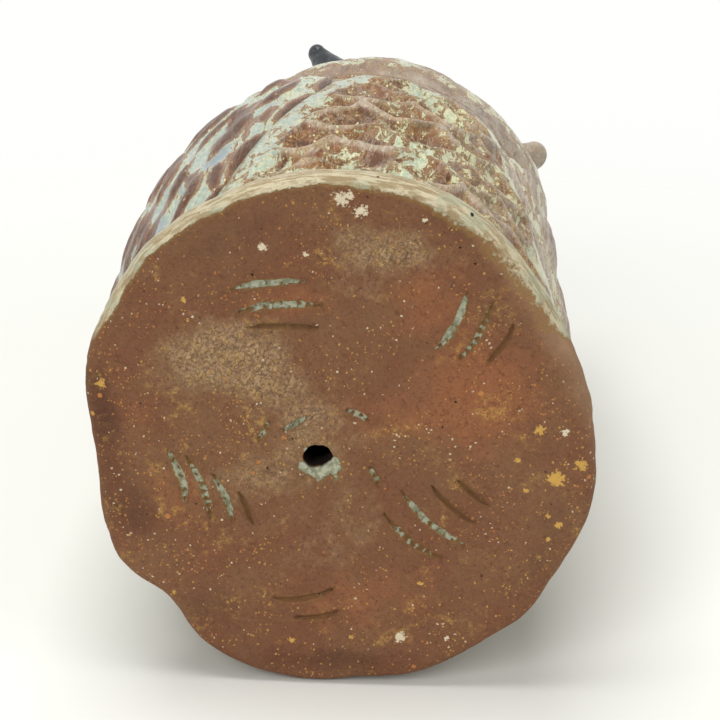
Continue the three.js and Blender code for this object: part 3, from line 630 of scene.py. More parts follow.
def buildWing(side):
    # a plate laid on the flank: ribs that close to points run its length, its edge dips into the clay
    cfg = wings
    rise = 0.5 - 0.5 * np.cos(np.linspace(0, 1, cfg["rows"] + 1) * math.pi)
    c, r = np.meshgrid(np.sin(np.linspace(-0.5, 0.5, cfg["columns"]) * math.pi), rise)
    angle, z = wingPlace(side, c, r)
    where = clayAt(angle, z)
    edge = np.maximum(np.abs(c) ** cfg["edgeAcross"], np.abs(2 * r - 1) ** cfg["edgeAlong"])
    fade = (1 - c ** 2) * (1 - (2 * r - 1) ** 4)
    c = c + fade * (0.05 * clayNoise(where, 11, 111 + side, 2, 0.4)
                    + 0.03 * clayNoise(where, 4, 113 + side, 2, 0.3))
    r = r + fade * (0.06 * clayNoise(where, 8, 115 + side, 2, 0.5))
    crest = ribCrest(side, c, r)
    fine, lumps = clayNoise(where, 1.9, 119, 2, 0.22), clayNoise(where, 5, 121, 2, 0.4)
    thread = clayNoise(where, 2.6, 123, 2, 0.12)
    plate = (cfg["seat"] + cfg["thick"] - cfg["groove"] * (1 - crest)
             + cfg["fine"] * fine + cfg["lumps"] * lumps + cfg["threads"] * thread)
    height = plate * (1 - edge) - cfg["edgeSunk"] * edge
    outer = clayAt(angle, z, np.minimum(height, cfg["highest"]))
    cb, rb = np.meshgrid(np.linspace(cfg["backReach"], -cfg["backReach"], cfg["backColumns"]), rise)
    back = clayAt(*wingPlace(side, cb, rb), -cfg["buried"] - cfg["backDish"] * (1 - cb ** 2))
    # the shore is where the glaze has run off the ribs and off fainter ones between them
    minor = ribCrest(side, c + 1 / cfg["ribs"], r + cfg["minorRise"]) * between(-0.5, 0.2, lumps)
    shore = np.maximum(crest, 0.8 * minor) + 0.16 * fine + 0.12 * lumps + 0.3 * thread
    gain, least, paleAndSheen = cfg["paint"][side]
    blue = cfg["blueRight"] + 0 * z
    if side > 0:
        blue = between(*cfg["blueRise"], z) * (0.55 + 0.45 * between(-0.3, 0.3, lumps))
    fringe = bell(shore - cfg["shoreAt"], cfg["shoreWidth"])
    masks = {"crest": clamp01(0.95 * fringe + 0.3 * between(*cfg["raised"], shore)),
             "pool": between(*cfg["pooled"], shore) * (1 - 0.25 * edge) * gain + least, "blue": blue,
             "paleAndSheen": paleAndSheen + 0 * z, "pitShadeAndDarkTone": between(*cfg["pitShadeAndDarkTone"], shore)}
    points = np.concatenate([outer, back], 1)
    return gridPiece(sideWord[side] + "_wing_glazed", points, withBack(masks, back, 1))


def hornRadius(t, length, root, tip, flare):
    # falls from root to tip radius with a power of the way along, then a quarter circle rounds the end
    straight = (length - tip) / length
    radius = tip + (root - tip) * (1 - clamp01(t / straight)) ** flare
    return radius * np.sqrt(1 - clamp01((t - straight) / (1 - straight)) ** 2)


def offLine(points, *parts):
    # places moved by each part's amounts along its direction
    for amounts, direction in parts:
        points = points + amounts[..., None] * direction
    return points


# crest, pool and pale bands are shares of an ear's length
ears = {
    "level": 157, "flatness": 0.8, "behind": 3.0, "flare": 1.12, "rings": 60, "sides": 72, "tipGap": 0.25,
    "blue": 0.3, "pulledIn": 0.22, "lumps": [(0.3, 5), (0.08, 1.8)], "crestFrom": (0.5, 0.8),
    "poolTo": (0.75, 0.4), "pool": 0.42, "paleAndSheenFrom": (0.6, 0.85),
    "left": {"rootRadius": 13.0, "rootHeight": 158, "rootReach": 20.0, "rootAngle": 47, "tipRadius": 2.5,
             "tipHeight": 178.0, "tipReach": 37.2, "tipAngle": 32.5, "seed": 131},
    "right": {"rootRadius": 9.5, "rootHeight": 160, "rootReach": 22.0, "rootAngle": 31, "tipRadius": 3.8,
              "tipHeight": 174.5, "tipReach": 37.1, "tipAngle": 33.3, "seed": 137},
}


def earPlace(side, cfg, end):
    # a place on an ear's middle line, its reach taken from the head's middle line
    mx, my = clayMiddle(ears["level"])
    angle = cfg[end + "Angle"] * degree if side > 0 else math.pi - cfg[end + "Angle"] * degree
    reach = cfg[end + "Reach"]
    return np.array([mx + reach * math.cos(angle), my + reach * math.sin(angle), cfg[end + "Height"]])


def buildEar(side):
    # a horn: rings along a straight middle line, radius falling as a power with a round end, lumpy
    cfg = ears[sideWord[side]]
    root, tip = earPlace(side, cfg, "root"), earPlace(side, cfg, "tip")
    way = tip - root
    length = np.linalg.norm(way) + ears["behind"] - ears["tipGap"]
    way = way / np.linalg.norm(way)
    level = math.atan2(way[1], way[0])
    thin = np.cross(way, [-math.sin(level), math.cos(level), 0])
    broad = np.cross(thin, way)
    t = np.linspace(0, 1, ears["rings"] + 1)
    turn, radius = np.meshgrid(around(ears["sides"]),
                               hornRadius(t, length, cfg["rootRadius"], cfg["tipRadius"], ears["flare"]))
    line = root - ears["behind"] * way + (t * length)[:, None] * way
    points = offLine(line[:, None], (radius * np.cos(turn), broad),
                     (radius * np.sin(turn) * ears["flatness"], thin))
    lump = sum(strength * clayNoise(points, size, cfg["seed"] + 3 * index, 2)
               for index, (strength, size) in enumerate(ears["lumps"]))
    inward = (lump - ears["pulledIn"]) * np.minimum(1, radius / cfg["tipRadius"])
    points = joinEnds(offLine(points, (inward * np.cos(turn), broad), (inward * np.sin(turn), thin)))
    tipward = t[:, None] + 0 * turn
    masks = {"crest": between(*ears["crestFrom"], tipward),
             "pool": between(*ears["poolTo"], tipward) * ears["pool"], "blue": ears["blue"] + 0 * turn,
             "tipward": tipward, "paleAndSheen": between(*ears["paleAndSheenFrom"], tipward)}
    return gridPiece(sideWord[side] + "_ear_tuft_glazed", points, masks)


face = {
    "eyeHeight": 140, "discRadius": 16.5, "discSpacing": 1.6, "rimHeight": 2.7, "rimWidth": 3.4,
    "dish": 1.2, "spokes": 26, "spokeWave": 0.6, "spokeHeight": 0.32, "lumps": 0.12, "eyeRadius": 6.3,
    "eyeStandOut": 4.2, "seat": 0.3, "backRings": 8, "buried": 1.2, "eyeRings": 40, "smallSides": 64,
    "beakLength": 20, "beakRoot": 7.9, "beakTip": 1.5, "beakFlare": 1.12, "beakHeight": 132, "beakDroop": 10,
    "beakStandOut": 9.8, "beakWide": 0.96, "beakTall": 0.95, "beakRidge": 0.08, "beakRings": 60,
    "rings": 70, "sides": 150,
}
faceWidth = float(clayRadius(np.array(float(face["eyeHeight"]))))
eyeTurn = (face["discRadius"] + face["discSpacing"] / 2) / faceWidth


def faceSeat(turn, z):
    # a place on the face and the directions square to the clay there, level along it and up it
    angle = np.array(-math.pi / 2 + turn)
    here, step = np.array(float(z)), 0.5
    place = clayAt(angle, here)
    square = np.cross(clayAt(angle + step * degree, here) - place, clayAt(angle, here + step) - place)
    square = square / np.linalg.norm(square)
    sideways = np.cross([0, 0, 1.0], square)
    sideways /= np.linalg.norm(sideways)
    return place, square, sideways, np.cross(square, sideways)


def discPlace(side, theta, r):
    # a disc's own angle and radius, laid over the clay: angle round the owl and height
    angle = -math.pi / 2 + side * eyeTurn + r * np.cos(theta) / faceWidth
    return angle, face["eyeHeight"] + r * np.sin(theta)


def buildDisc(side):
    # laid on the face: own radius and angle run over the clay; a dish with spokes inside a rolled rim
    theta = around(face["sides"])
    th, r = np.meshgrid(theta, np.linspace(0, 1, face["rings"] + 1) * face["discRadius"])
    rimMiddle = face["discRadius"] - face["rimWidth"] / 2
    onRim = clamp01(1 - ((r - rimMiddle) / (face["rimWidth"] / 2)) ** 2)
    spoke = 0.5 + 0.5 * np.cos(face["spokes"] * th + face["spokeWave"] * np.sin(3 * th))
    inside = between(face["eyeRadius"], face["eyeRadius"] + 2, r) * (1 - onRim)
    out = (face["dish"] + (face["rimHeight"] - face["dish"]) * np.sqrt(onRim)
           + face["spokeHeight"] * (spoke - 0.6) * inside)
    out = np.where(r > rimMiddle, face["rimHeight"] * np.sqrt(onRim), out)
    flat = np.stack([r * np.cos(th), r * np.sin(th), 0 * r], -1)
    lump = face["lumps"] * clayNoise(flat, 4, 141 + side, 3)
    front = clayAt(*discPlace(side, th, r), out + lump * between(0, 2, face["discRadius"] - r))
    thb, rb = np.meshgrid(theta, np.linspace(0.97, 0, face["backRings"]) * face["discRadius"])
    back = clayAt(*discPlace(side, thb, rb), -face["buried"])
    masks = {"crest": clamp01(onRim * 0.9 + 0.5 * spoke * inside),
             "pool": clamp01(inside * (1.1 - spoke)) + 0.25 * (1 - onRim), "blue": 0.4 + 0 * th}
    points = np.concatenate([front, back])
    return gridPiece(sideWord[side] + "_eye_disc_glazed", points, withBack(masks, back))


def buildEye(side):
    # a ball that stands out of the dish, with each point's degrees off the way it looks as a mask
    place, way, sideways, upright = faceSeat(side * eyeTurn, face["eyeHeight"])
    centre = place + (face["seat"] + face["dish"] + face["eyeStandOut"] - face["eyeRadius"]) * way
    turn, tilt = np.meshgrid(around(face["smallSides"]), np.linspace(0, math.pi, face["eyeRings"] + 1))
    radius = face["eyeRadius"]
    points = offLine(centre, (radius * np.cos(tilt), way), (radius * np.sin(tilt) * np.cos(turn), sideways),
                     (radius * np.sin(tilt) * np.sin(turn), upright))
    masks = {"look": np.degrees(tilt) + 3 * np.sin(turn * 3 + 1)}
    return gridPiece(sideWord[side] + "_eyeball_glazed", points, masks)


def buildBeak():
    # a horn square to the face whose rings sink with the square of their way out
    cfg = face
    place, way, sideways, upright = faceSeat(0, cfg["beakHeight"])
    t = np.linspace(0, 1, cfg["beakRings"] + 1)
    turn, radius = np.meshgrid(around(cfg["smallSides"]), hornRadius(
        t, cfg["beakLength"], cfg["beakRoot"], cfg["beakTip"], cfg["beakFlare"]))
    ridge = 1 + cfg["beakRidge"] * np.cos(turn - math.pi / 2) ** 8
    line = place + (cfg["beakStandOut"] - cfg["beakLength"]) * way
    points = offLine(line, (t[:, None] * cfg["beakLength"], way),
                     (radius * np.cos(turn) * cfg["beakWide"], sideways),
                     (radius * np.sin(turn) * ridge * cfg["beakTall"], upright))
    points[..., 2] -= cfg["beakDroop"] * t[:, None] ** 2
    return gridPiece("beak_glazed", joinEnds(points), {"tipward": t[:, None] + 0 * turn})


def linear(red, green, blue):
    # screen colour, 0 to 255, to the linear colour that a shader takes
    screen = np.array([red, green, blue]) / 255
    value = np.where(screen <= 0.04045, screen / 12.92, ((screen + 0.055) / 1.055) ** 2.4)
    return (*value.tolist(), 1.0)


# the tree that the functions below put their nodes in
canvas = {"tree": None}


def plug(socket, value):
    # links an output to a socket, or sets the socket's own number, colour or vector
    if isinstance(value, bpy.types.NodeSocket):
        canvas["tree"].links.new(value, socket)
    else:
        socket.default_value = value


def put(kind, settings=None, **inputs):
    # adds a node, sets its properties, then fills inputs by name, _ for a blank, or by place (in0, in1)
    made = canvas["tree"].nodes.new(kind)
    for key, value in (settings or {}).items():
        setattr(made, key, value)
    for key, value in inputs.items():
        plug(made.inputs[int(key[2:]) if key[2:].isdigit() else key.replace("_", " ")], value)
    return made


def reckon(operation):
    # a function that puts one kind of math node
    def placed(*values, clamp=False):
        inputs = {"in" + str(index): value for index, value in enumerate(values)}
        return put("ShaderNodeMath", {"operation": operation, "use_clamp": clamp}, **inputs).outputs[0]
    return placed


times, plus, minus, timesPlus = (reckon(key) for key in ("MULTIPLY", "ADD", "SUBTRACT", "MULTIPLY_ADD"))
most, unsigned, below = (reckon(key) for key in ("MAXIMUM", "ABSOLUTE", "LESS_THAN"))


def offMiddle(value):
    # a noise's swing about its middle value
    return minus(value, 0.5)


def pushed(painted, source, amount):
    # a painted mask made ragged by a noise
    return timesPlus(offMiddle(source), amount, painted)


def ramp(value, low, high, start=0.0, end=1.0):
    # smooth step from low to high
    return put("ShaderNodeMapRange", {"interpolation_type": "SMOOTHSTEP"}, Value=value, From_Min=low,
               From_Max=high, To_Min=start, To_Max=end).outputs[0]


def blend(share, first, second, mode="MIX"):
    # one colour where the share is 0, the other where it is 1
    return put("ShaderNodeMix", {"data_type": "RGBA", "blend_type": mode},
               in0=share, in6=first, in7=second).outputs[2]


def coated(colour, *coats):
    # each coat, its share and its colour, laid over those before it
    for share, tone in coats:
        colour = blend(share, colour, tone)
    return colour


def noise(where, scale, detail=4.0, rough=0.55, distort=0.0):
    return put("ShaderNodeTexNoise", Vector=where, Scale=scale, Detail=detail, Roughness=rough,
               Distortion=distort).outputs[0]


def mapped(where, **how):
    # places shifted, turned or squeezed before a noise reads them
    return put("ShaderNodeMapping", Vector=where, **how).outputs[0]


def mask(name):
    # a mask painted on the piece's points
    return put("ShaderNodeAttribute", {"attribute_name": name}).outputs["Fac"]


def group(name, inputs, outputs):
    # starts a node group: its inputs with their first values, a vector has none, and its outputs' names
    tree = canvas["tree"] = bpy.data.node_groups.new(name, "ShaderNodeTree")
    for key, start in inputs.items():
        kind = "NodeSocketVector" if start is None else "NodeSocketFloat"
        socket = tree.interface.new_socket(name=key, in_out="INPUT", socket_type=kind)
        if start is not None:
            socket.default_value = start
    for key in outputs:
        tree.interface.new_socket(name=key, in_out="OUTPUT", socket_type="NodeSocketFloat")
    return tree.nodes.new("NodeGroupInput").outputs, tree.nodes.new("NodeGroupOutput").inputs


def useGroup(source, **inputs):
    return put("ShaderNodeGroup", {"node_tree": source}, **inputs).outputs


def makeSpecks():
    # small ragged specks: a share of the cells of a cell pattern holds one, near its middle
    given, out = group("grogSpecks", {"Vector": None, "Scale": 700.0, "Share": 0.06, "Size": 0.28},
                       ("Mask", "Tone"))
    ragged = put("ShaderNodeTexNoise", Vector=given["Vector"], Scale=2600.0, Detail=2.0)
    nudge = put("ShaderNodeVectorMath", {"operation": "SCALE"}, in0=ragged.outputs["Color"], Scale=0.0006)
    moved = put("ShaderNodeVectorMath", {"operation": "ADD"}, in0=given["Vector"], in1=nudge.outputs[0])
    cells = put("ShaderNodeTexVoronoi", Vector=moved.outputs[0], Scale=given["Scale"])
    apart = put("ShaderNodeSeparateColor", Color=cells.outputs["Color"]).outputs
    sized = times(given["Size"], ramp(apart[1], 0.0, 1.0, 0.4, 1.3))
    soft = ramp(minus(sized, cells.outputs["Distance"]), 0.0, 0.06)
    plug(out["Mask"], times(below(apart[0], given["Share"]), soft))
    plug(out["Tone"], apart[2])
    return canvas["tree"]


def makeBreak():
    # where glaze has run thick or thin: lacy edges from layered noise pushed by the painted masks,
    # with dots of gold and cream that crowd in the brown towards the pools, and pale threads
    given, out = group("glazeBreak", {"Vector": None, "Crest": 0.0, "Pool": 0.0, "Lace": 0.9},
                       ("Pool", "Edge", "Cream", "Freckle", "Crest", "Gold", "Thread", "Height"))
    vector = given["Vector"]
    lace = offMiddle(noise(vector, 420.0, 8.0, 0.74, 0.9))
    fine = noise(vector, 1500.0, 3.0, 0.6)
    push = timesPlus(lace, given["Lace"], pushed(given["Pool"], noise(vector, 150.0, 3.0, 0.5), 0.5))
    pool = ramp(push, 0.44, 0.48)
    left = minus(1.0, pool)
    small = useGroup(specks, Vector=vector, Scale=1750.0, Share=ramp(push, 0.05, 0.45, 0.02, 0.3), Size=0.4)
    large = useGroup(specks, Vector=vector, Scale=980.0, Share=ramp(push, 0.12, 0.45, 0.01, 0.16), Size=0.3)
    freckle = most(times(small["Mask"], ramp(small["Tone"], 0.4, 0.5)),
                   times(large["Mask"], ramp(large["Tone"], 0.55, 0.6)))
    away = unsigned(offMiddle(noise(vector, 250.0, 5.0, 0.66, 1.2)))
    near = ramp(push, 0.16, 0.4)
    freckle = most(freckle, times(ramp(away, 0.016, 0.006), near))
    gold = most(most(small["Mask"], large["Mask"]), times(ramp(away, 0.034, 0.018), near))
    threads = unsigned(offMiddle(noise(mapped(vector, Scale=(1, 1, 0.22)), 420.0, 6.0, 0.7, 0.5)))
    shown = {"Pool": pool, "Edge": times(ramp(push, 0.24, 0.43), left),
             "Cream": times(pool, ramp(push, 0.60, 0.47)), "Freckle": times(freckle, left),
             "Gold": times(gold, left), "Thread": ramp(threads, 0.035, 0.0),
             "Crest": ramp(pushed(timesPlus(lace, 0.5, given["Crest"]), fine, 0.3), 0.25, 0.8),
             "Height": timesPlus(most(pool, freckle), 0.45, times(fine, 0.3))}
    for key, value in shown.items():
        plug(out[key], value)
    return canvas["tree"]


def makeScratches():
    # fine burnishing lines in three directions, broken up along their length
    given, out = group("burnishLines", {"Vector": None, "Amount": 1.0}, ("Mask",))
    lines = []
    for turn, scale in ((0.4, 1500.0), (1.5, 1300.0), (-0.5, 1700.0)):
        bent = mapped(given["Vector"], Rotation=(0, 0, turn), Scale=(1, 0.14, 1))
        lines.append(ramp(noise(bent, scale, 3.0, 0.6), 0.53, 0.68))
    plug(out["Mask"], times(most(most(lines[0], lines[1]), lines[2]), given["Amount"]))
    return canvas["tree"]


specks, burnish = makeSpecks(), makeScratches()
glazeBreak = makeBreak()


def startMaterial(name):
    made = bpy.data.materials.new(name)
    made.use_nodes = True
    canvas["tree"] = made.node_tree
    return made, made.node_tree.nodes["Principled BSDF"].inputs, put("ShaderNodeTexCoord").outputs["Object"]


def dress(shader, colour, roughness, height, distance, strength):
    # the last step of a glaze or clay: colour, roughness and bumps into the shader
    bump = put("ShaderNodeBump", Height=height, Distance=distance, Strength=strength).outputs[0]
    for key, value in (("Base Color", colour), ("Roughness", roughness), ("Normal", bump)):
        plug(shader[key], value)


# pit is a near-black painted shade, laid in tiny pits, in small specks of the lip glaze and down the vent's
# wall
bareLook = {
    "brown": (130, 87, 62), "dark": (84, 50, 38), "red": (156, 102, 68), "olive": (138, 108, 76),
    "pale": (198, 170, 132), "gold": (210, 166, 84), "orange": (188, 124, 70), "white": (228, 214, 184),
    "ochre": (146, 112, 62), "glaze": (146, 148, 122), "bead": (186, 188, 164), "lip": (168, 148, 112),
    "lipPale": (212, 200, 168), "mint": (176, 188, 162), "bevel": (168, 136, 108), "pit": (20, 14, 11),
}


def bareClayMaterial():
    # mottled clay with pale slip, veins, gold threads and grog; glaze in the strokes, at the vent and rim
    made, shader, where = startMaterial("bare_clay_and_comb_glaze")
    tone = {key: linear(*value) for key, value in bareLook.items()}
    cloud = noise(where, 190.0, 5.0, 0.62)
    middling = noise(where, 620.0, 4.0, 0.7)
    grain = noise(where, 1900.0, 4.0, 0.7)
    ragged = noise(where, 1650.0, 4.0, 0.62)
    rim, fill, bevel = mask("rim"), mask("fill"), mask("bevel")

    def vein(scale, width, shift):
        # thin lines where a noise passes its middle value
        moved = mapped(where, Location=(shift, 0, 0))
        return ramp(unsigned(offMiddle(noise(moved, scale, 5.0, 0.65))), width, 0.0)

    lines = useGroup(burnish, Vector=where, Amount=1.0)["Mask"]
    pale = times(ramp(pushed(mask("pale"), cloud, 1.3), 0.12, 0.95), timesPlus(lines, 0.35, 0.5), clamp=True)
    veins = most(vein(520.0, 0.022, 0.3), vein(800.0, 0.02, 0.9))
    colour = coated(
        blend(ramp(noise(where, 55.0, 4.0, 0.6), 0.36, 0.64), tone["brown"], tone["olive"]),
        (ramp(middling, 0.35, 0.7, 0.6, 0.4), tone["brown"]),
        (ramp(pushed(mask("red"), cloud, 1.3), 0.1, 0.9), tone["red"]),
        (ramp(pushed(mask("dark"), cloud, 0.9), 0.15, 1.0), tone["dark"]),
        (pale, tone["pale"]),
        (times(veins, timesPlus(pale, 0.7, 0.08), clamp=True), tone["dark"]))
    colour = blend(ramp(grain, 0.3, 0.75, 0.0, 0.35), colour, tone["dark"], "SOFT_LIGHT")
    strewn = most(ramp(noise(where, 95.0, 4.0, 0.65), 0.52, 0.68), pale)
    threads = most(vein(640.0, 0.06, 1.7), vein(980.0, 0.05, 2.3))
    threads = times(threads, times(strewn, ramp(middling, 0.46, 0.6)))
    # specks of grog, more of them where the clouds are thick
    crowd = ramp(noise(where, 75.0, 3.0, 0.6), 0.42, 0.66, 0.06, 0.62)
    tiny = useGroup(specks, Vector=where, Scale=1700.0, Share=crowd, Size=0.34)
    tinyTone = coated(tone["orange"], (tiny["Tone"], tone["gold"]),
                      (ramp(tiny["Tone"], 0.92, 0.94), tone["white"]))
    big = useGroup(specks, Vector=where, Scale=430.0, Share=0.05, Size=0.2)
    bigTone = coated(tone["orange"], (ramp(big["Tone"], 0.3, 0.6), tone["gold"]),
                     (ramp(big["Tone"], 0.86, 0.9), tone["white"]))
    # tiny pits, dented in the bump and painted near-black as their shade
    holes = useGroup(specks, Vector=where, Scale=520.0, Share=0.12, Size=0.12)["Mask"]
    colour = coated(
        colour, (times(threads, 0.75), tone["gold"]),
        (times(ramp(noise(where, 1100.0, 4.0, 0.75), 0.55, 0.63), 0.5), tone["dark"]),
        (times(tiny["Mask"], 0.85), tinyTone), (big["Mask"], bigTone),
        (ramp(pushed(mask("gold"), ragged, 1.9), 0.5, 0.6), tone["gold"]),
        (ramp(pushed(mask("chip"), ragged, 1.9), 0.5, 0.6), tone["white"]), (holes, tone["pit"]))
    # glaze left in the combed strokes and round the vent, ochre where it thins out; painted shade darkens the
    # strokes' hollows a little and the vent's wall to near black
    fineRag = offMiddle(noise(where, 1300.0, 3.0, 0.6))
    depth = timesPlus(fineRag, 0.5, mask("near"))
    inside = ramp(depth, 0.42, 0.50)
    beads = noise(where, 900.0, 2.0, 0.5)
    wet = plus(fill, offMiddle(beads))
    crumb = timesPlus(fineRag, 1.1, mask("crumb"))
    glazed = most(times(inside, ramp(wet, 0.46, 0.54)), ramp(crumb, 0.38, 0.46))
    colour = coated(
        colour, (times(ramp(depth, 0.12, 0.42), ramp(fill, 0.1, 0.7, 0.25, 0.7)), tone["ochre"]),
        # painted shade in the strokes' hollows
        (times(inside, 0.25), tone["dark"]),
        (times(inside, ramp(wet, 0.30, 0.46, 0.0, 0.6)), tone["ochre"]),
        (times(ramp(crumb, 0.14, 0.38), 0.65), tone["ochre"]),
        (glazed, blend(ramp(beads, 0.42, 0.6), tone["glaze"], tone["bead"])),
        # painted shade: the vent's wall turns near black going down it
        (ramp(mask("sunk"), 0.02, 0.3), tone["pit"]))
    # the run of thin glaze over the rim, above and to the right, and the wiped bevel beside it, laid paler,
    # partly its own tone and partly a painted highlight
    above = ramp(mask("above"), 0.1, 0.7, 0.06, 1.0)
    drawn = mapped(where, Scale=(0.35, 0.35, 3.0))
    string = noise(drawn, 520.0, 6.0, 0.7)
    rimPush = timesPlus(bevel, -0.66, timesPlus(fineRag, 0.25, pushed(rim, cloud, 0.45)))
    rimPush = plus(rimPush, ramp(above, 0.2, 1.0, -0.3, 0.04))
    onRim = times(ramp(rim, 0.0, 0.06), ramp(above, 0.06, 0.5))
    rimGlaze = times(ramp(rimPush, 0.17, 0.26), onRim)
    lip = coated(
        blend(ramp(string, 0.43, 0.57), tone["lip"], tone["lipPale"]),
        (ramp(cloud, 0.50, 0.62, 0.0, 0.4), tone["mint"]),
        (times(ramp(noise(drawn, 800.0, 4.0, 0.7), 0.58, 0.66), 0.5), tone["bevel"]),
        # small near-black specks in the lip glaze, painted shade of tiny pits
        (useGroup(specks, Vector=where, Scale=380.0, Share=0.11, Size=0.22)["Mask"], tone["pit"]))
    colour = coated(
        # the bevel laid paler: partly its own tone, partly a painted highlight
        colour, (times(ramp(bevel, -0.1, 0.55), ramp(cloud, 0.3, 0.7, 0.5, 0.9)), tone["bevel"]),
        (times(ramp(rimPush, 0.06, 0.18, 0.0, 0.6), onRim), tone["ochre"]), (rimGlaze, lip))
    height = plus(times(veins, timesPlus(pale, -0.25, -0.03)), timesPlus(cloud, 0.5, times(grain, 0.55)))
    for part, share in ((middling, 0.3), (holes, -0.7), (tiny["Mask"], 0.2), (times(glazed, beads), 1.1),
                        (times(rimGlaze, string), 0.8)):
        height = timesPlus(part, share, height)
    shader["Specular IOR Level"].default_value = 0.16
    dress(shader, colour, ramp(most(glazed, rimGlaze), 0.0, 1.0, 0.8, 0.36), height, 0.0007, 1.0)
    return made


glazeLook = {
    "brown": (110, 67, 34), "dark": (76, 44, 22), "golden": (166, 124, 74), "crest": (166, 158, 144),
    "mint": (150, 164, 138), "mintPale": (188, 195, 168), "blue": (130, 143, 150), "tan": (168, 148, 122),
    "cream": (212, 196, 148), "frostAndSheen": (202, 188, 170),
}


def glazeMaterial(name, crestShare=1.0, poolShift=0.0, roughness=0.26, tanShare=0.0, drawn=0.5, frostAndSheen=0.3):
    # thin brown glaze that breaks purple-grey on raised clay and pools mint and blue in the hollows
    made, shader, where = startMaterial(name)
    tone = {key: linear(*value) for key, value in glazeLook.items()}
    along = mapped(where, Scale=(1, 1, drawn))
    # this mask lays mauve-grey over the brown and cream over the pools: partly paler glaze, partly painted
    # reflection of the white surroundings
    paleAndSheen = mask("paleAndSheen")
    pool = plus(mask("pool"), poolShift)
    broken = useGroup(glazeBreak, Vector=along, Crest=mask("crest"), Pool=pool, Lace=1.6)
    cloud = noise(along, 160.0, 4.0, 0.6)
    fine = noise(along, 1400.0, 4.0, 0.65)
    crest = times(broken["Crest"], crestShare)
    # the brown turns dark where the cloud and the pit mask are high: on the body painted shade in the carved
    # gouges, on the head and the wings a darker tone of the glaze
    colour = coated(
        blend(ramp(timesPlus(mask("pitShadeAndDarkTone"), 0.3, cloud), 0.42, 0.66), tone["brown"], tone["dark"]),
        (ramp(fine, 0.45, 0.7, 0.0, 0.3), tone["brown"]), (tanShare, tone["tan"]),
        (times(paleAndSheen, ramp(noise(along, 420.0, 5.0, 0.7), 0.36, 0.58)), tone["crest"]),
        (times(crest, 0.85), blend(ramp(fine, 0.35, 0.65), tone["crest"], tone["tan"])),
        # pale threads: partly pale streaks in the glaze, partly painted reflection, strongest on the right
        # wing
        (times(broken["Thread"], timesPlus(crest, 0.4, frostAndSheen), clamp=True), tone["frostAndSheen"]),
        (times(broken["Edge"], 0.4), tone["golden"]), (times(broken["Gold"], 0.8), tone["golden"]),
        (times(broken["Freckle"], 0.9), tone["cream"]))
    minty = blend(ramp(fine, 0.4, 0.62), tone["mint"], tone["mintPale"])
    minty = coated(
        minty, (mask("blue"), blend(ramp(cloud, 0.3, 0.7, 0.3, 1.0), minty, tone["blue"])),
        (times(broken["Cream"], 0.7), tone["cream"]), (times(paleAndSheen, 0.7), tone["cream"]))
    dots = useGroup(specks, Vector=where, Scale=620.0, Share=0.12, Size=0.26)["Mask"]
    colour = coated(colour, (broken["Pool"], minty), (times(dots, 0.6), tone["dark"]))
    shader["Specular IOR Level"].default_value = 0.2
    dress(shader, colour, ramp(broken["Pool"], 0.0, 1.0, roughness + 0.1, roughness - 0.04),
          timesPlus(cloud, 0.7, broken["Height"]), 0.0007, 0.9)
    return made


def darkGlazeMaterial():
    # near-black glossy glaze that turns slate where it thins towards the root
    made, shader, where = startMaterial("black_glaze")
    cloud = noise(where, 300.0, 4.0, 0.6)
    dots = useGroup(specks, Vector=where, Scale=500.0, Share=0.07, Size=0.25)["Mask"]
    colour = coated(
        blend(ramp(cloud, 0.45, 0.7), linear(24, 27, 31), linear(58, 66, 70)),
        (ramp(pushed(mask("tipward"), cloud, 0.5), 0.42, 0.28), linear(122, 104, 86)),
        # raised dots laid pale bluish-grey: painted glints
        (times(dots, 0.7), linear(160, 172, 165)))
    dress(shader, colour, ramp(cloud, 0.3, 0.7, 0.12, 0.24), timesPlus(dots, 0.4, cloud), 0.0004, 0.6)
    return made


def eyeMaterial():
    # honey iris round a black pupil, all under one gloss
    made, shader, where = startMaterial("eye_glaze")
    look = mask("look")
    cloud = noise(where, 900.0, 4.0, 0.6)
    iris = blend(ramp(cloud, 0.35, 0.65), linear(176, 118, 44), linear(120, 74, 30))
    colour = coated(linear(14, 14, 16), (ramp(look, 27.0, 31.0), iris),
                    (ramp(look, 52.0, 60.0), linear(22, 20, 20)))
    dress(shader, colour, ramp(cloud, 0.3, 0.7, 0.08, 0.16), cloud, 0.0002, 0.4)
    return made


headGlaze = glazeMaterial("head_glaze", crestShare=0.8, tanShare=0.2, drawn=0.6, frostAndSheen=0.1)
leftWingGlaze = glazeMaterial("blue_mint_glaze", roughness=0.2, crestShare=0.25, drawn=0.3, frostAndSheen=0.12)
rightWingGlaze = glazeMaterial("tan_glaze", tanShare=0.35, drawn=0.3, frostAndSheen=0.5)
discGlaze = glazeMaterial("disc_glaze", poolShift=0.05)
blackGlaze = darkGlazeMaterial()
eyeGlaze = eyeMaterial()

finishPiece(buildUnderside(), bareClayMaterial(), "bare_clay", "base_slab")
finishPiece(buildBody(), glazeMaterial("brown_mint_glaze"), "brown_mint_glaze", "body_wall")
finishPiece(buildHead(), headGlaze, "brown_mint_glaze", "head_shell")
finishPiece(buildWing(1), leftWingGlaze, "mint_glaze", "left_wing")
finishPiece(buildWing(-1), rightWingGlaze, "brown_mint_glaze", "right_wing")
finishPiece(buildEar(1), blackGlaze, "black_glaze", "left_ear_tuft")
finishPiece(buildEar(-1), headGlaze, "brown_mint_glaze", "right_ear_tuft")
finishPiece(buildBeak(), blackGlaze, "black_glaze", "beak")
for side, word in sideWord.items():
    finishPiece(buildDisc(side), discGlaze, "mint_glaze", word + "_eye_disc")
    finishPiece(buildEye(side), eyeGlaze, "black_glaze", word + "_eyeball")

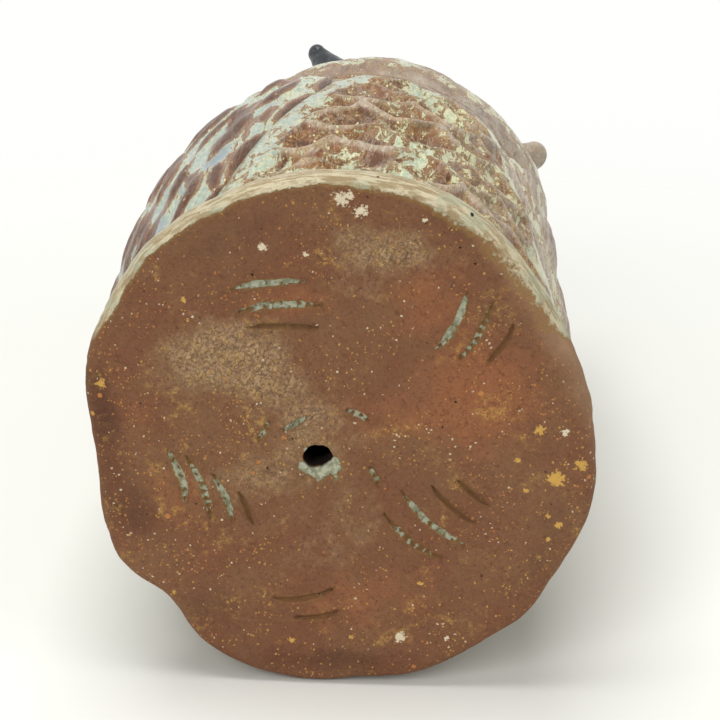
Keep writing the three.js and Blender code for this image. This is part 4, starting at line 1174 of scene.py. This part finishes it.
# Camera, low in front of the underside and about 23 degrees above the table the owl lies on
view = {
    "place": (45.854, 212.000, -472.788), "right": (-0.917878, 0.389616, 0.075500),
    "up": (0.387596, 0.839199, 0.381463), "forward": (-0.085265, -0.379400, 0.921296), "lens": 137.8,
}
cameraData = bpy.data.cameras.new("camera")
cameraData.lens = view["lens"]
cameraData.sensor_width = 36
cameraData.clip_start, cameraData.clip_end = 0.01, 50
camera = bpy.data.objects.new("camera", cameraData)
scene.collection.objects.link(camera)
turn = Matrix([view["right"], view["up"], [-value for value in view["forward"]]]).transposed()
camera.matrix_world = Matrix.Translation(Vector(view["place"]) * mm) @ turn.to_4x4()
scene.camera = camera

# The table is a plane along the owl's length that touches its lowest side
tableSide, tableUp = (Vector((*way, 0.0)) for way in (photoRight, photoUp))
alongOwl = Vector((0, 0, 1))
owlMiddle = alongOwl * 0.085
studio = {"reach": 3.0, "fadeFrom": 0.16, "fadeTo": 0.46, "paper": (229, 229, 223), "ambient": 0.34,
          "fadeShift": 0.04, "floorGap": 0.0002, "sky": (1.0, 1.0, 0.985, 1)}


def furthestAlong(direction):
    # furthest that any shown clay reaches along a direction
    reach = 0.0
    for made in bpy.data.objects:
        if made.type == "MESH" and made.name.endswith(("_clay", "_glazed")):
            flat = np.empty(len(made.data.vertices) * 3)
            made.data.vertices.foreach_get("co", flat)
            reach = max(reach, float((flat.reshape(-1, 3) @ np.array(direction)).max()))
    return reach


def stageSheet(name, foot, sideways, upwards, material):
    # a square sheet through its foot
    corners = [foot + sideways * studio["reach"] * a + upwards * studio["reach"] * b
               for a, b in ((-1, -1), (1, -1), (1, 1), (-1, 1))]
    mesh = bpy.data.meshes.new(name)
    mesh.from_pydata([tuple(c) for c in corners], [], [(0, 1, 2, 3)])
    mesh.materials.append(material)
    sheet = bpy.data.objects.new(name, mesh)
    scene.collection.objects.link(sheet)


def paperMaterial(name, centre, onlyCamera):
    # white paper seen from its front alone, fading out with distance from a place
    made, _, where = startMaterial(name)
    nodes = made.node_tree.nodes
    nodes.remove(nodes["Principled BSDF"])
    apart = put("ShaderNodeVectorMath", {"operation": "DISTANCE"}, in0=where, in1=tuple(centre))
    near = ramp(apart.outputs["Value"], studio["fadeFrom"], studio["fadeTo"], 1.0, 0.0)
    shown = times(near, minus(1.0, put("ShaderNodeNewGeometry").outputs["Backfacing"]))
    if onlyCamera:
        shown = times(shown, put("ShaderNodeLightPath").outputs["Is Camera Ray"])
    clear = put("ShaderNodeBsdfTransparent").outputs[0]
    paper = put("ShaderNodeBsdfDiffuse", Color=linear(*studio["paper"])).outputs[0]
    mix = put("ShaderNodeMixShader", in0=shown, in1=clear, in2=paper)
    plug(nodes["Material Output"].inputs["Surface"], mix.outputs[0])
    return made


tableFoot = -tableUp * furthestAlong(-tableUp)
stageSheet("paper_table", tableFoot, tableSide, alongOwl,
           paperMaterial("table_paper", tableFoot - alongOwl * studio["fadeShift"], False))
stageSheet("paper_floor", alongOwl * -studio["floorGap"], Vector((1, 0, 0)), Vector((0, 1, 0)),
           paperMaterial("floor_paper", Vector((0, 0, 0)), True))

world = bpy.data.worlds.new("studio")
scene.world = world
world.use_nodes = True
canvas["tree"] = world.node_tree
backdrop = world.node_tree.nodes["Background"].inputs
backdrop["Color"].default_value = studio["sky"]
rays = put("ShaderNodeLightPath").outputs
seen = most(rays["Is Camera Ray"], most(rays["Is Glossy Ray"], rays["Is Transmission Ray"]))
plug(backdrop["Strength"], ramp(seen, 0.0, 1.0, studio["ambient"], 1.0))


def softBox(name, side, up, near, size, power):
    # a square lamp placed in metres to the camera's right, above the table and towards the camera
    data = bpy.data.lights.new(name, "AREA")
    data.shape, data.size, data.energy = "SQUARE", size, power
    lamp = bpy.data.objects.new(name, data)
    scene.collection.objects.link(lamp)
    place = owlMiddle + tableSide * side + tableUp * up - alongOwl * near
    aim = (place - owlMiddle).to_track_quat("Z", "Y")
    lamp.matrix_world = Matrix.Translation(place) @ aim.to_matrix().to_4x4()


softBox("top_box", -0.15, 1.15, -0.05, 0.8, 12.0)
softBox("front_box", -0.45, 0.75, 1.2, 0.8, 9.5)
softBox("right_box", 0.95, 0.55, 0.5, 0.7, 3.0)

scene.view_settings.view_transform = "Standard"
